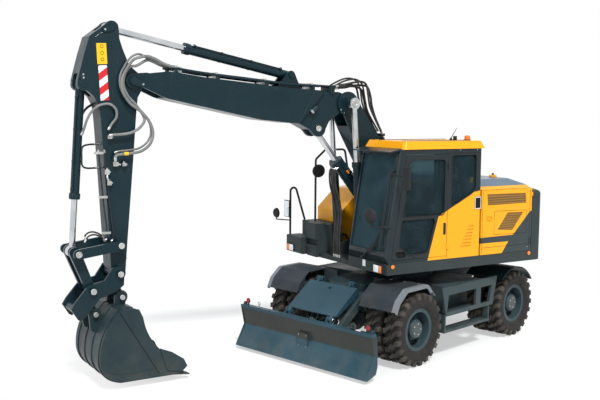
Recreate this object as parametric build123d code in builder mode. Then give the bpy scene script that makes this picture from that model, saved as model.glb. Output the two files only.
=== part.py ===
"""Wheeled excavator with a two-piece boom, twin tyres, a dozer blade and a bucket on a coupler.

Millimetres. X points to the blade end, Y to the operator's left, Z up. The origin is on the ground
under the swing centre. The upper structure and the digging arm are drawn straight ahead and turned
by parked_swing at the end, because the machine is parked with its upper turned to the right."""

from build123d import *
import math
import os

os.makedirs("parts", exist_ok=True)

# Overall arrangement
parked_swing = -14.5
fixed_axle_x = 1100
wheelbase = 2510
steer_axle_x = fixed_axle_x - wheelbase
seat_gap = 0.3
joint_gap = 5
running_gap = 0.05

# Tyres and rims
tyre_radius = 519
tyre_width = 275
tread_radius = 482
lug_foot = 474
lug_top = 515
lugs_per_row = 11
lug_outline = [(4, -62), (4, -2), (76, 60), (133, 60), (133, 0), (88, 0)]
bead_radius = 262
outer_tyre_y = 1110
twin_spacing = 330
rim_width = 200
flange_radius = 300
rim_wall = 12
rim_disc_wall = 16
rim_disc_y = 1040
hub_radius = 138
hub_face_y = 1185
drum_radius = 168
drum_inner_y = 600

# Chassis
chassis_half_width = 360
chassis_arm_half_width = 290
neck_bottom = 720
chassis_bottom = 640
chassis_top = 1080
tub_radius = 520
slew_ring_radius = 565
slew_ring_bottom = 1150
deck_bottom = 1285
axle_beam_height = 190
axle_beam_depth = 170
diff_radius = 190
kingpin_y = 500
kingpin_radius = 60
yoke_half_height = 100
yoke_plate = 30
steer_fender_radius = 582
fender_wall = 10
fender_lip = 45
fender_inner_y = 600
fender_outer_y = 1245

# Steps between the axles
step_face_y = 1245
step_plate = 40
step_top = 1038
step_bottom = 610
step_box_inner_y = chassis_half_width + 20
lower_step_z = 390

# Dozer blade
blade_half_width = 1270
blade_plate = 18
blade_pivot = (1470, 940)
blade_toe = (2020, 535)
blade_link_shift = (10, 140)
blade_arm_y = 530
blade_arm_wall = 60
blade_link_y = 300
blade_link_toe_y = 400
blade_link_wall = 40
blade_cover_half = 455
blade_cylinder_y = 150
blade_foot = (1500, 960)
blade_eye = (1985, 330)
blade_eye_radius = 13

# Upper structure
deck_plate = 60
deck_front = 1150
deck_rear = -1575
upper_half_width = 1245
skirt_wall = 50
skirt_top = 1435
tail_radius = 2150
counterweight_front = -1575
counterweight_top = 2360
hood_front = -530
hood_rear = -1565
hood_side_top = 2400
hood_top = 2530
door_wall = 40
grille_depth = 16
slat_pitch = 36
slat_width = 13
upper_grille = [(-640, 2340), (-1425, 2330), (-1446, 2180), (-660, 2172)]
lower_grille = [(-1060, 2048), (-1385, 2042), (-1174, 1778), (-862, 1796)]

# Boom centre plane and pins, given as (x, z)
boom_y = -100
boom_foot = (120, 1860)
boom_elbow = (1050, 3652)
boom_nose = (4380, 3900)
adjust_pin = (1541, 3285)
adjust_foot = (600, 2130)
lift_foot = (880, 1450)
arm_cylinder_foot = (2000, 4040)
arm_cylinder_pin = (4641, 4557)
bucket_cylinder_foot = (5010, 3845)
arm_tip = (4597, 1431)
rocker_pin = (4604, 1810)
knee_pin = (5155, 1736)
link_pin = (4956, 1240)
bucket_front_pin = (4566, 1122)
bucket_rear_pin = (4918, 932)

# Pin radii
boom_pin = 50
elbow_pin = 55
nose_pin = 50
cylinder_pin = 36
linkage_pin = 42
bucket_pin = 35
blade_pin = 30
blade_cylinder_pin = 20
door_pin = 5
door_knuckle = 9
door_hinge_y = 1253

# Boom and arm widths, half of each
upper_boom_half = 185
nose_slot_half = 155
lower_boom_half = 165
lower_fork_inner = 136
elbow_half = 130
arm_half = 150
cylinder_slot_half = 75
adjust_slot_half = 92
bracket_inner = 200
bracket_wall = 35
boom_foot_half = 195
lift_cylinder_y = 305
lift_clear_y = 500
rocker_inner = 262
rocker_wall = 40
link_inner = 180
link_wall = 45
coupler_half = 210
coupler_wall = 35
ear_half = 165
ear_wall = 40
bucket_half = 510

# Cab
cab_right = 300
cab_left = 1245
cab_wall = 45
cab_rear = -500
cab_floor = 1435.3
cab_eaves = 3020
cab_front_low = (1200, 1540)
cab_front_high = (965, 3020)
roof_top = 3130
door_rear = 115
glass_wall = 6


def side_plate(points, y_from, y_to, mode=Mode.ADD):
    """A flat plate with an outline in X and Z, between two values of Y"""
    with BuildSketch(Plane.XZ.offset(-y_to)) as profile:
        with BuildLine():
            Polyline(points, close=True)
        make_face()
    extrude(profile.sketch, amount=y_to - y_from, mode=mode)


def side_link(circles, y_from, y_to, mode=Mode.ADD):
    """A plate whose outline wraps round circles given as (x, z, radius)"""
    with BuildSketch(Plane.XZ.offset(-y_to)) as profile:
        for x, z, radius in circles:
            with Locations((x, z)):
                Circle(radius)
        make_hull()
    extrude(profile.sketch, amount=y_to - y_from, mode=mode)


def cross_pin(centre, radius, y_from, y_to, mode=Mode.ADD):
    """A round pin or boss along Y"""
    with BuildSketch(Plane.XZ.offset(-y_to)) as profile:
        with Locations(centre):
            Circle(radius)
    extrude(profile.sketch, amount=y_to - y_from, mode=mode)


def block(x_from, x_to, y_from, y_to, z_from, z_to, mode=Mode.ADD):
    """A rectangular block between three pairs of planes"""
    with BuildSketch(Plane.XY.offset(z_from)) as profile:
        with Locations(((x_from + x_to) / 2, (y_from + y_to) / 2)):
            Rectangle(x_to - x_from, y_to - y_from)
    extrude(profile.sketch, amount=z_to - z_from, mode=mode)


def pane(points, radius, y_from, y_to, mode=Mode.ADD):
    """A plate or an opening with rounded corners, between two values of Y"""
    with BuildSketch(Plane.XZ.offset(-y_to)) as profile:
        with BuildLine():
            FilletPolyline(points, radius=radius, close=True)
        make_face()
    extrude(profile.sketch, amount=y_to - y_from, mode=mode)


def bent_plate(points, wall, radius, y_from, y_to, mode=Mode.ADD):
    """A plate of one thickness that follows a path in X and Z with rounded bends"""
    with BuildSketch(Plane.XZ.offset(-y_to)) as profile:
        with BuildLine():
            FilletPolyline(points, radius=radius)
        trace(line_width=wall)
    extrude(profile.sketch, amount=y_to - y_from, mode=mode)


def wheel_ring(points, axle_x, mode=Mode.ADD):
    """A ring turned about an axle, from an outline of (radius, y)"""
    with BuildSketch(Plane.XY.offset(axle_z)) as profile:
        with BuildLine():
            Polyline([(axle_x + radius, y) for radius, y in points], close=True)
        make_face()
    revolve(profile.sketch, axis=Axis((axle_x, 0, axle_z), (0, 1, 0)), mode=mode)


def both_sides():
    """The same again on the other side of the chassis centre plane"""
    mirror(about=Plane.XZ)


def both_boom_sides():
    """The same again on the other side of the boom centre plane"""
    mirror(about=Plane.XZ.offset(-boom_y))


def park(piece):
    """Turns a piece of the upper structure to its parked direction"""
    piece.part = piece.part.rotate(Axis.Z, parked_swing)


def write(piece, name):
    """Labels a finished piece and writes its file"""
    piece.part.label = name
    export_step(piece.part, f"parts/{name}.step")


axle_z = tyre_radius
blade_link_pivot = (blade_pivot[0] + blade_link_shift[0], blade_pivot[1] + blade_link_shift[1])
blade_link_toe = (blade_toe[0] + blade_link_shift[0], blade_toe[1] + blade_link_shift[1])
inner_tyre_y = outer_tyre_y - twin_spacing
bead_half = rim_width / 2 - rim_wall - seat_gap

# Twin tyres with chevron lugs, drawn at the fixed axle's left end
half = tyre_width / 2
with BuildPart() as twin_tyres:
    for centre in (inner_tyre_y, outer_tyre_y):
        wheel_ring(
            [
                (bead_radius + seat_gap, centre - bead_half),
                (flange_radius + seat_gap, centre - bead_half),
                (flange_radius + seat_gap, centre - rim_width / 2 - 8),
                (390, centre - half),
                (tread_radius, centre - half + 14),
                (tread_radius, centre + half - 14),
                (390, centre + half),
                (flange_radius + seat_gap, centre + rim_width / 2 + 8),
                (flange_radius + seat_gap, centre + bead_half),
                (bead_radius + seat_gap, centre + bead_half),
            ],
            fixed_axle_x,
        )
        lug_planes = []
        for row in (-1, 1):
            for step in range(lugs_per_row):
                angle = 2 * math.pi * (step + row / 4) / lugs_per_row
                out = (math.cos(angle), 0, math.sin(angle))
                foot = (fixed_axle_x + lug_foot * out[0], centre, axle_z + lug_foot * out[2])
                lug_planes.append(Plane(origin=foot, x_dir=(0, row, 0), z_dir=out))
        with BuildSketch(*lug_planes) as lugs:
            with BuildLine():
                Polyline(lug_outline, close=True)
            make_face()
        extrude(lugs.sketch, amount=lug_top - lug_foot)

# Twin rims on one hub
with BuildPart() as twin_rims:
    for centre in (inner_tyre_y, outer_tyre_y):
        low = centre - rim_width / 2
        high = centre + rim_width / 2
        wheel_ring(
            [
                (bead_radius - rim_wall, low),
                (flange_radius, low),
                (flange_radius, low + rim_wall),
                (bead_radius, low + rim_wall),
                (bead_radius, high - rim_wall),
                (flange_radius, high - rim_wall),
                (flange_radius, high),
                (bead_radius - rim_wall, high),
            ],
            fixed_axle_x,
        )
    inner_disc_y = rim_disc_y - twin_spacing + 140
    for face in (rim_disc_y, inner_disc_y):
        wheel_ring(
            [
                (0, face),
                (bead_radius - rim_wall + 2, face),
                (bead_radius - rim_wall + 2, face - rim_disc_wall),
                (0, face - rim_disc_wall),
            ],
            fixed_axle_x,
        )
    wheel_ring(
        [
            (0, drum_inner_y + seat_gap),
            (drum_radius, drum_inner_y + seat_gap),
            (drum_radius, rim_disc_y + 14),
            (hub_radius, rim_disc_y + 22),
            (hub_radius, hub_face_y - 20),
            (hub_radius - 20, hub_face_y),
            (0, hub_face_y),
        ],
        fixed_axle_x,
    )

# One pair at each station
stations = [
    # name, axle x, side
    ("front_left", fixed_axle_x, 1),
    ("front_right", fixed_axle_x, -1),
    ("rear_left", steer_axle_x, 1),
    ("rear_right", steer_axle_x, -1),
]
for name, axle_x, side in stations:
    for pair, kind in ((twin_tyres, "tyres"), (twin_rims, "rims")):
        placed = pair.part.moved(Location((axle_x - fixed_axle_x, 0, 0)))
        if side < 0:
            placed = mirror(placed, about=Plane.XZ)
        placed.label = f"{kind}_{name}"
        export_step(placed, f"parts/{kind}_{name}.step")

# Axle housings: the fixed one has its wheel ends, the steered one ends in yokes for the knuckles
with BuildPart() as fixed_axle:
    side_link([(fixed_axle_x, axle_z, diff_radius)], -120, 120)
    block(
        fixed_axle_x - axle_beam_depth / 2, fixed_axle_x + axle_beam_depth / 2,
        -drum_inner_y + 60, drum_inner_y - 60,
        axle_z - axle_beam_height / 2, axle_z + axle_beam_height / 2,
    )
    for end in (-1, 1):
        low = min(end * (drum_inner_y - 60), end * drum_inner_y)
        cross_pin((fixed_axle_x, axle_z), 150, low, low + 60)
    block(fixed_axle_x - 110, fixed_axle_x + 110, 200, 320, axle_z, chassis_bottom)
    block(fixed_axle_x - 110, fixed_axle_x + 110, -320, -200, axle_z, chassis_bottom)
    # Gearbox behind the axle and the shaft to the steered axle
    block(
        fixed_axle_x - diff_radius - 360, fixed_axle_x - diff_radius + 20,
        -170, 170, axle_z - 120, axle_z + 100,
    )
    with BuildSketch(Plane.YZ.offset(steer_axle_x + diff_radius + joint_gap)) as shaft:
        with Locations((0, axle_z)):
            Circle(45)
    extrude(shaft.sketch, amount=fixed_axle_x - diff_radius - 360 - steer_axle_x - diff_radius)
write(fixed_axle, "fixed_axle")

with BuildPart() as steer_axle:
    side_link([(steer_axle_x, axle_z, diff_radius)], -120, 120)
    block(
        steer_axle_x - axle_beam_depth / 2, steer_axle_x + axle_beam_depth / 2,
        -kingpin_y + kingpin_radius + 30, kingpin_y - kingpin_radius - 30,
        axle_z - axle_beam_height / 2, axle_z + axle_beam_height / 2,
    )
    block(steer_axle_x - 90, steer_axle_x + 90, -120, 120, axle_z, neck_bottom - seat_gap)
    for level in (axle_z + yoke_half_height + seat_gap, axle_z - yoke_half_height - seat_gap - yoke_plate):
        with BuildSketch(Plane.XY.offset(level)) as yoke:
            for end in (-1, 1):
                with Locations((steer_axle_x, end * kingpin_y)):
                    Circle(kingpin_radius)
                with Locations((steer_axle_x, end * (kingpin_y - 75))):
                    Rectangle(2 * kingpin_radius, 150)
        extrude(yoke.sketch, amount=yoke_plate)
    for end in (-1, 1):
        block(
            steer_axle_x - kingpin_radius, steer_axle_x + kingpin_radius,
            end * (kingpin_y - 115) - 35, end * (kingpin_y - 115) + 35,
            axle_z - yoke_half_height - yoke_plate, axle_z + yoke_half_height + yoke_plate,
        )
        # Steering cylinder body in front of the beam
    with BuildSketch(Plane.XZ.offset(-260)) as steering_cylinder:
        with Locations((steer_axle_x + 140, axle_z)):
            Circle(38)
    extrude(steering_cylinder.sketch, amount=520)
    block(steer_axle_x + 60, steer_axle_x + 140, -60, 60, axle_z - 30, axle_z + 30)
write(steer_axle, "steer_axle")

# Steering knuckles, each with its wheel end and the fender that turns with the wheels
for name, side in (("left", 1), ("right", -1)):
    with BuildPart() as knuckle:
        with BuildSketch(Plane.XY.offset(axle_z - yoke_half_height)) as trunnion:
            with Locations((steer_axle_x, side * kingpin_y)):
                Circle(kingpin_radius - 6)
            with Locations((steer_axle_x, side * (kingpin_y + 45))):
                Rectangle(90, 70)
        extrude(trunnion.sketch, amount=2 * yoke_half_height)
        low = min(side * (drum_inner_y - 30), side * drum_inner_y)
        cross_pin((steer_axle_x, axle_z), 150, low, low + 30)
        low = min(side * (drum_inner_y - 28), side * (drum_inner_y - 4))
        block(
            steer_axle_x - 55, steer_axle_x + 55, low, low + 24,
            axle_z, axle_z + steer_fender_radius + 4,
        )
        # Fender arc over both tyres with a lip along its outer edge
        low = min(side * (drum_inner_y - 28), side * fender_outer_y)
        width = fender_outer_y - drum_inner_y + 28
        with BuildSketch(Plane.XZ.offset(-low - width)) as fender:
            with Locations((steer_axle_x, axle_z)):
                Circle(steer_fender_radius + fender_wall)
                Circle(steer_fender_radius, mode=Mode.SUBTRACT)
            with BuildLine():
                Polyline(
                    [
                        (steer_axle_x, axle_z),
                        (steer_axle_x + 900, axle_z + 1000),
                        (steer_axle_x - 900, axle_z + 1000),
                        (steer_axle_x - 900, axle_z + 620),
                    ],
                    close=True,
                )
            make_face(mode=Mode.INTERSECT)
        extrude(fender.sketch, amount=width)
    write(knuckle, f"knuckle_{name}")

# Chassis: box frame, tub under the slew ring, cover plate above the blade arms
with BuildPart() as chassis:
    side_plate(
        [
            (1400, 660), (1400, 980), (1340, 1040), (760, chassis_top), (-860, chassis_top),
            (-860, 700), (-560, chassis_bottom), (1250, chassis_bottom),
        ],
        -chassis_half_width, chassis_half_width,
    )
    side_plate(
        [(-860, chassis_top), (-1700, 1020), (-1700, 820), (-1400, neck_bottom), (-860, neck_bottom)],
        -chassis_arm_half_width, chassis_arm_half_width,
    )
    with BuildSketch(Plane.XY.offset(chassis_bottom)) as tub:
        Circle(tub_radius)
    extrude(tub.sketch, amount=slew_ring_bottom - chassis_bottom)
    with BuildSketch(Plane.XY.offset(slew_ring_bottom)) as ring:
        Circle(slew_ring_radius)
    extrude(ring.sketch, amount=deck_bottom - seat_gap - slew_ring_bottom)
    # Lugs for the blade arms, the levelling links above them and the blade cylinders
    for y in (blade_arm_y, -blade_arm_y):
        for inner in (y - blade_arm_wall / 2 - joint_gap - 30, y + blade_arm_wall / 2 + joint_gap):
            side_link([(*blade_pivot, 66), (1310, 760, 66)], inner, inner + 30)
        cross_pin(blade_pivot, blade_pin, y - 80, y + 80)
    block(1240, 1360, -blade_arm_y - 65, blade_arm_y + 65, 680, 820)
    for y in (blade_link_y, -blade_link_y):
        for inner in (y - blade_link_wall / 2 - joint_gap - 25, y + blade_link_wall / 2 + joint_gap):
            side_link([(*blade_link_pivot, 50), (1330, 960, 60)], inner, inner + 25)
        cross_pin(blade_link_pivot, blade_cylinder_pin, y - 60, y + 60)
    for y in (blade_cylinder_y, -blade_cylinder_y):
        for inner in (y - 75, y + 50):
            side_link([(*blade_foot, 45), (1370, 880, 60)], inner, inner + 25)
        cross_pin(blade_foot, blade_cylinder_pin, y - 85, y + 85)
    cross_pin((fixed_axle_x, axle_z), diff_radius + seat_gap, -150, 150, mode=Mode.SUBTRACT)
write(chassis, "chassis")

# Fenders of the fixed axle
with BuildPart() as fenders:
    path = [(1668, 850), (1600, 990), (1420, 1136), (940, 1142), (770, 960)]
    bent_plate(path, fender_wall, 90, fender_inner_y, fender_outer_y)
    lip = [(x - (x - fixed_axle_x) * 0.035, z - 24) for x, z in path[:-1]] + [(856, 1019)]
    bent_plate(lip, fender_lip, 80, fender_outer_y - 12, fender_outer_y)
    # Inner guard that hangs behind the front bend
    side_plate([(1655, 868), (1590, 990), (1500, 1060), (1500, 960), (1560, 850)], fender_inner_y, fender_inner_y + 12)
    block(1000, 1060, chassis_half_width, fender_inner_y + 20, 1000, 1140)
    block(1000, 1060, fender_inner_y, fender_outer_y - 60, 1112, 1140)
    both_sides()
write(fenders, "front_fenders")

# Step frames with a tool box behind each
with BuildPart() as steps:
    side_plate(
        [(600, step_top), (-848, step_top), (-740, step_bottom), (485, step_bottom)],
        step_face_y - step_plate, step_face_y,
    )
    side_plate([(432, 916), (-279, 916), (-273, 669), (471, 669)], step_face_y - 60, step_face_y + 10, mode=Mode.SUBTRACT)
    side_plate([(-405, 916), (-705, 916), (-640, 669), (-398, 669)], step_face_y - 60, step_face_y + 10, mode=Mode.SUBTRACT)
    block(-480, 480, step_box_inner_y, step_face_y - step_plate, 1010, step_top)
    block(-480, 480, step_box_inner_y, step_face_y - step_plate, step_bottom, step_bottom + 30)
    block(-480, 480, step_box_inner_y, 950, step_bottom, step_top)
    block(-480, 480, chassis_half_width, step_box_inner_y, 700, 1000)
    # Lower tread bar on two hangers
    block(-650, 530, step_face_y - 170, step_face_y, lower_step_z - 20, lower_step_z + 20)
    for x in (-640, 495):
        block(x, x + 25, step_face_y - 100, step_face_y, lower_step_z, step_bottom + 20)
    with BuildSketch(Plane.XY) as around_tub:
        Circle(tub_radius + seat_gap)
    extrude(around_tub.sketch, amount=deck_bottom, mode=Mode.SUBTRACT)
    both_sides()
write(steps, "step_boxes")

# Dozer blade: folded mouldboard, end plates, back beam, arms
with BuildPart() as blade:
    bent_plate([(2172, 628), (2106, 350), (2268, 66)], blade_plate, 70, -blade_half_width + 2, blade_half_width - 2)
    # Stiff rim along the top, cutting edge along the bottom, end plates
    side_plate([(2192, 652), (2184, 610), (2150, 600), (2100, 626), (2104, 652)], -blade_half_width, blade_half_width)
    side_plate([(2300, 52), (2262, 46), (2208, 148), (2226, 156)], -blade_half_width + 6, blade_half_width - 6)
    end_plate = [(2192, 652), (2128, 352), (2290, 66), (2262, 44), (2092, 100), (2058, 200), (2076, 560), (2100, 652)]
    for y in (-blade_half_width, blade_half_width - blade_plate):
        side_plate(end_plate, y, y + blade_plate)
    for side in (-1, 1):
        side_link([(2128, 668, 26), (2128, 630, 26)], side * 1235 - 12, side * 1235 + 12)
        cross_pin((2128, 668), blade_eye_radius, side * 1235 - 20, side * 1235 + 20, mode=Mode.SUBTRACT)
    block(2075, 2104, -700, 700, 250, 560)
    # Lugs behind the mouldboard for the arms, the links and the cylinders
    for y in (blade_arm_y, -blade_arm_y):
        for inner in (y - blade_arm_wall / 2 - joint_gap - 25, y + blade_arm_wall / 2 + joint_gap):
            side_link([(*blade_toe, 60), (2078, 440, 26)], inner, inner + 25)
        cross_pin(blade_toe, blade_pin, y - 75, y + 75)
    for y in (blade_link_toe_y, -blade_link_toe_y):
        for inner in (y - blade_link_wall / 2 - joint_gap - 25, y + blade_link_wall / 2 + joint_gap):
            side_link([(*blade_link_toe, 42), (2078, 534, 26)], inner, inner + 25)
        cross_pin(blade_link_toe, blade_cylinder_pin, y - 60, y + 60)
    for y in (blade_cylinder_y, -blade_cylinder_y):
        for inner in (y - 70, y + 45):
            side_link([(*blade_eye, 42), (2078, 340, 26)], inner, inner + 25)
    # Blank tow plate on the middle of the mouldboard
    block(2110, 2176, -98, 98, 232, 440)
write(blade, "blade")

# Lower arms of the blade, and above them the sloping cover plate that keeps the blade level
with BuildPart() as blade_arms:
    for y in (blade_arm_y, -blade_arm_y):
        side_link([(*blade_pivot, 60), (*blade_toe, 50)], y - blade_arm_wall / 2, y + blade_arm_wall / 2)
    for point in (blade_pivot, blade_toe):
        cross_pin(point, blade_pin + running_gap, -1000, 1000, mode=Mode.SUBTRACT)
write(blade_arms, "blade_arms")

link_length = math.dist(blade_link_pivot, blade_link_toe)
link_run = (blade_link_toe[0] - blade_link_pivot[0]) / link_length
link_fall = (blade_link_toe[1] - blade_link_pivot[1]) / link_length


def along_link(distance, rise):
    """A point at a distance along the cover plate from its chassis pin, and a rise square to it"""
    x = blade_link_pivot[0] + distance * link_run - rise * link_fall
    z = blade_link_pivot[1] + distance * link_fall + rise * link_run
    return x, z


with BuildPart() as blade_links:
    plate_ends = (62, link_length - 56)
    side_plate(
        [along_link(plate_ends[0], 0), along_link(plate_ends[0], 18), along_link(plate_ends[1], 18), along_link(plate_ends[1], 0)],
        -blade_cover_half, blade_cover_half,
    )
    for y in (-blade_cover_half + 3, blade_cover_half - 18):
        side_plate(
            [along_link(plate_ends[0], 1), along_link(plate_ends[1], 1), along_link(plate_ends[1] - 40, -26), along_link(170, -90), along_link(70, -50)],
            y, y + 15,
        )
    for centre, place, foot in (
        (blade_link_pivot, blade_link_y, along_link(110, 4)),
        (blade_link_toe, blade_link_toe_y, along_link(link_length - 110, 4)),
    ):
        for y in (place, -place):
            side_link([(*centre, 34), (*foot, 12)], y - blade_link_wall / 2, y + blade_link_wall / 2)
        cross_pin(centre, blade_cylinder_pin + running_gap, -1000, 1000, mode=Mode.SUBTRACT)
write(blade_links, "blade_links")


def ram_frame(foot, eye):
    """Length of a cylinder between its pins and the unit vector along it"""
    dx = eye[0] - foot[0]
    dz = eye[1] - foot[1]
    length = math.hypot(dx, dz)
    return length, dx / length, dz / length


def ram_plane(point, y, dx, dz):
    """A plane across a cylinder's axis"""
    return Plane(origin=(point[0], y, point[1]), x_dir=(0, 1, 0), z_dir=(dx, 0, dz))


def ram_barrel(foot, eye, y, barrel, tube_radius, rod_radius, foot_half, pin_radius):
    """Cylinder barrel: foot eye, tube and gland, bored for its rod and its foot pin"""
    length, dx, dz = ram_frame(foot, eye)
    cross_pin(foot, tube_radius * 0.95, y - foot_half, y + foot_half)
    with BuildSketch(ram_plane(foot, y, dx, dz)) as tube:
        Circle(tube_radius)
    extrude(tube.sketch, amount=barrel)
    gland = (foot[0] + dx * (barrel - 1.3 * tube_radius), foot[1] + dz * (barrel - 1.3 * tube_radius))
    with BuildSketch(ram_plane(gland, y, dx, dz)) as head:
        Circle(tube_radius * 1.18)
    extrude(head.sketch, amount=1.3 * tube_radius)
    bore = (foot[0] + dx * (pin_radius + 35), foot[1] + dz * (pin_radius + 35))
    with BuildSketch(ram_plane(bore, y, dx, dz)) as hollow:
        Circle(rod_radius + running_gap)
    extrude(hollow.sketch, amount=barrel, mode=Mode.SUBTRACT)
    cross_pin(foot, pin_radius + running_gap, y - 2 * tube_radius, y + 2 * tube_radius, mode=Mode.SUBTRACT)


def ram_rod(foot, eye, y, buried, barrel, rod_radius, eye_radius, eye_half):
    """Cylinder rod: eye, and a rod that ends inside its barrel"""
    length, dx, dz = ram_frame(foot, eye)
    cross_pin(eye, eye_radius, y - eye_half, y + eye_half)
    start = (foot[0] + dx * (barrel - buried), foot[1] + dz * (barrel - buried))
    with BuildSketch(ram_plane(start, y, dx, dz)) as rod:
        Circle(rod_radius)
    extrude(rod.sketch, amount=length - barrel + buried - eye_radius * 0.5)


# Every hydraulic cylinder with its barrel and rod
rams = [
    # name, foot, eye, y places, barrel length, tube r, rod r, buried rod, eye r, foot half, eye half, pin r, upper
    ("blade", blade_foot, blade_eye, (blade_cylinder_y, -blade_cylinder_y), 500, 42, 25, 240, 38, 40, 40, blade_cylinder_pin, False),
    ("lift", lift_foot, boom_elbow, (boom_y + lift_cylinder_y, boom_y - lift_cylinder_y), 1350, 62, 42, 700, 85, 50, 38, cylinder_pin, True),
    ("adjust", adjust_foot, adjust_pin, (boom_y,), 878, 85, 45, 420, 75, 86, 70, cylinder_pin, True),
    ("arm", arm_cylinder_foot, arm_cylinder_pin, (boom_y,), 1640, 65, 45, 500, 80, 70, 70, cylinder_pin, True),
    ("bucket", bucket_cylinder_foot, knee_pin, (boom_y,), 1446, 58, 40, 600, 70, 70, 60, cylinder_pin, True),
]
for name, foot, eye, places, barrel, tube_r, rod_r, buried, eye_r, foot_half, eye_half, pin_r, upper in rams:
    with BuildPart() as ram:
        for y in places:
            ram_barrel(foot, eye, y, barrel, tube_r, rod_r, foot_half, pin_r)
    if upper:
        park(ram)
    write(ram, f"{name}_barrel")
    with BuildPart() as ram:
        for y in places:
            ram_rod(foot, eye, y, buried, barrel, rod_r, eye_r, eye_half)
    if upper:
        park(ram)
    write(ram, f"{name}_rod")



def hinge_pin(x, y, level):
    """Upright hinge pin that stands up from a level"""
    with BuildSketch(Plane.XY.offset(level)) as pin:
        with Locations((x, y)):
            Circle(door_pin)
    extrude(pin.sketch, amount=70)


def hinge_knuckle(x, y, level):
    """Door knuckle round an upright hinge pin"""
    with BuildSketch(Plane.XY.offset(level + 1)) as knuckle:
        with Locations((x, y)):
            Circle(door_knuckle)
    extrude(knuckle.sketch, amount=60)
    with BuildSketch(Plane.XY.offset(level)) as bore:
        with Locations((x, y)):
            Circle(door_pin + running_gap)
    extrude(bore.sketch, amount=80, mode=Mode.SUBTRACT)


# Upper frame: deck, side skirts, boom brackets
with BuildPart() as upper_frame:
    block(deck_rear, deck_front, -1195, 1195, deck_bottom, deck_bottom + deck_plate)
    with BuildSketch(Plane.XY.offset(deck_bottom)) as skirts:
        for side in (-1, 1):
            with Locations(((deck_front + deck_rear) / 2 + 10, side * (upper_half_width - skirt_wall / 2))):
                Rectangle(deck_front - deck_rear + 20, skirt_wall)
        with Locations((deck_front - 5, (cab_right + cab_left) / 2)):
            Rectangle(50, cab_left - cab_right)
    extrude(skirts.sketch, amount=skirt_top - deck_bottom)
    bracket = [
        (-480, 1340), (-380, 1560), (-20, 1900), (60, 1975), (180, 1990), (260, 1900),
        (330, 1720), (760, 1560), (960, 1500), (1000, 1420), (1000, 1340),
    ]
    for side in (-1, 1):
        low = boom_y + min(side * bracket_inner, side * (bracket_inner + bracket_wall))
        side_plate(bracket, low, low + bracket_wall)
        low = boom_y + min(side * (lift_cylinder_y + 67), side * (lift_cylinder_y + 92))
        side_link([(*lift_foot, 70), (lift_foot[0], 1360, 60)], low, low + 25)
        low = boom_y + min(side * 140, side * (bracket_inner + bracket_wall + 20))
        cross_pin(boom_foot, boom_pin, low, low + bracket_inner + bracket_wall + 20 - 140)
        low = boom_y + min(side * bracket_inner, side * (lift_cylinder_y + 95))
        cross_pin(lift_foot, cylinder_pin, low, low + lift_cylinder_y + 95 - bracket_inner)
    # Bulkhead in front of the engine, and the hinge pins of the hood and the doors
    block(hood_front + 3, hood_front + 28, -415, cab_right - 5, deck_bottom + deck_plate, 2395)
    for y in (-300, 150):
        block(hood_front + 3, hood_front + 20, y - 45, y - 31, 2395, 2420)
        cross_pin((hood_front + 11, 2412), door_pin, y - 45, y + 25)
    for side in (-1, 1):
        for level in (1560, 2280):
            hinge_pin(hood_rear + joint_gap, side * door_hinge_y, level)
            block(deck_rear, hood_rear + 3, side * 1242 - 20, side * 1242 + 20, level - 14, level)
            block(deck_rear, hood_rear + 11, side * 1255.75 - 6.25, side * 1255.75 + 6.25, level - 14, level)
        block(deck_rear, hood_rear - 1, side * 1210 - 30, side * 1210 + 30, deck_bottom + deck_plate, 2380)
park(upper_frame)
write(upper_frame, "upper_frame")

# Counterweight: solid casting whose back is an arc about the swing centre
with BuildPart() as counterweight:
    with BuildSketch(Plane.XY.offset(deck_bottom)) as plan:
        Circle(tail_radius)
        with Locations((counterweight_front - 500, 0)):
            Rectangle(1000, 2 * upper_half_width, mode=Mode.INTERSECT)
        fillet(plan.vertices().group_by(Axis.X)[0], 110)
    extrude(plan.sketch, amount=counterweight_top - deck_bottom)
    fillet(counterweight.faces().sort_by(Axis.Z)[-1].edges().filter_by(GeomType.CIRCLE), 60)
park(counterweight)
write(counterweight, "counterweight")

# Engine, one plain block across the rear
with BuildPart() as engine:
    block(-1450, -760, -620, 560, deck_bottom + deck_plate, 2180)
    fillet(engine.edges().filter_by(Axis.X), 60)
park(engine)
write(engine, "engine")

# Top hood, raised in its middle
with BuildPart() as hood:
    with BuildSketch(Plane.XY.offset(hood_side_top + joint_gap)) as low:
        with Locations(((hood_front + hood_rear) / 2, 0)):
            RectangleRounded(hood_front - hood_rear, 2 * 1235, 60)
    with BuildSketch(Plane.XY.offset(hood_side_top + 50)) as middle:
        with Locations(((hood_front + hood_rear) / 2, 0)):
            RectangleRounded(hood_front - hood_rear - 40, 2 * 1160, 60)
    with BuildSketch(Plane.XY.offset(hood_top)) as high:
        with Locations(((hood_front + hood_rear) / 2 + 20, 0)):
            RectangleRounded(hood_front - hood_rear - 260, 2 * 900, 60)
    loft([low.sketch, middle.sketch, high.sketch], ruled=True)
    for y in (-300, 150):
        cross_pin((hood_front + 11, 2412), 8, y - 30, y + 25)
        block(hood_front - 5, hood_front + 5, y - 30, y + 25, 2406, 2420)
        cross_pin((hood_front + 11, 2412), door_pin + running_gap, y - 40, y + 30, mode=Mode.SUBTRACT)
park(hood)
write(hood, "hood")

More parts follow.
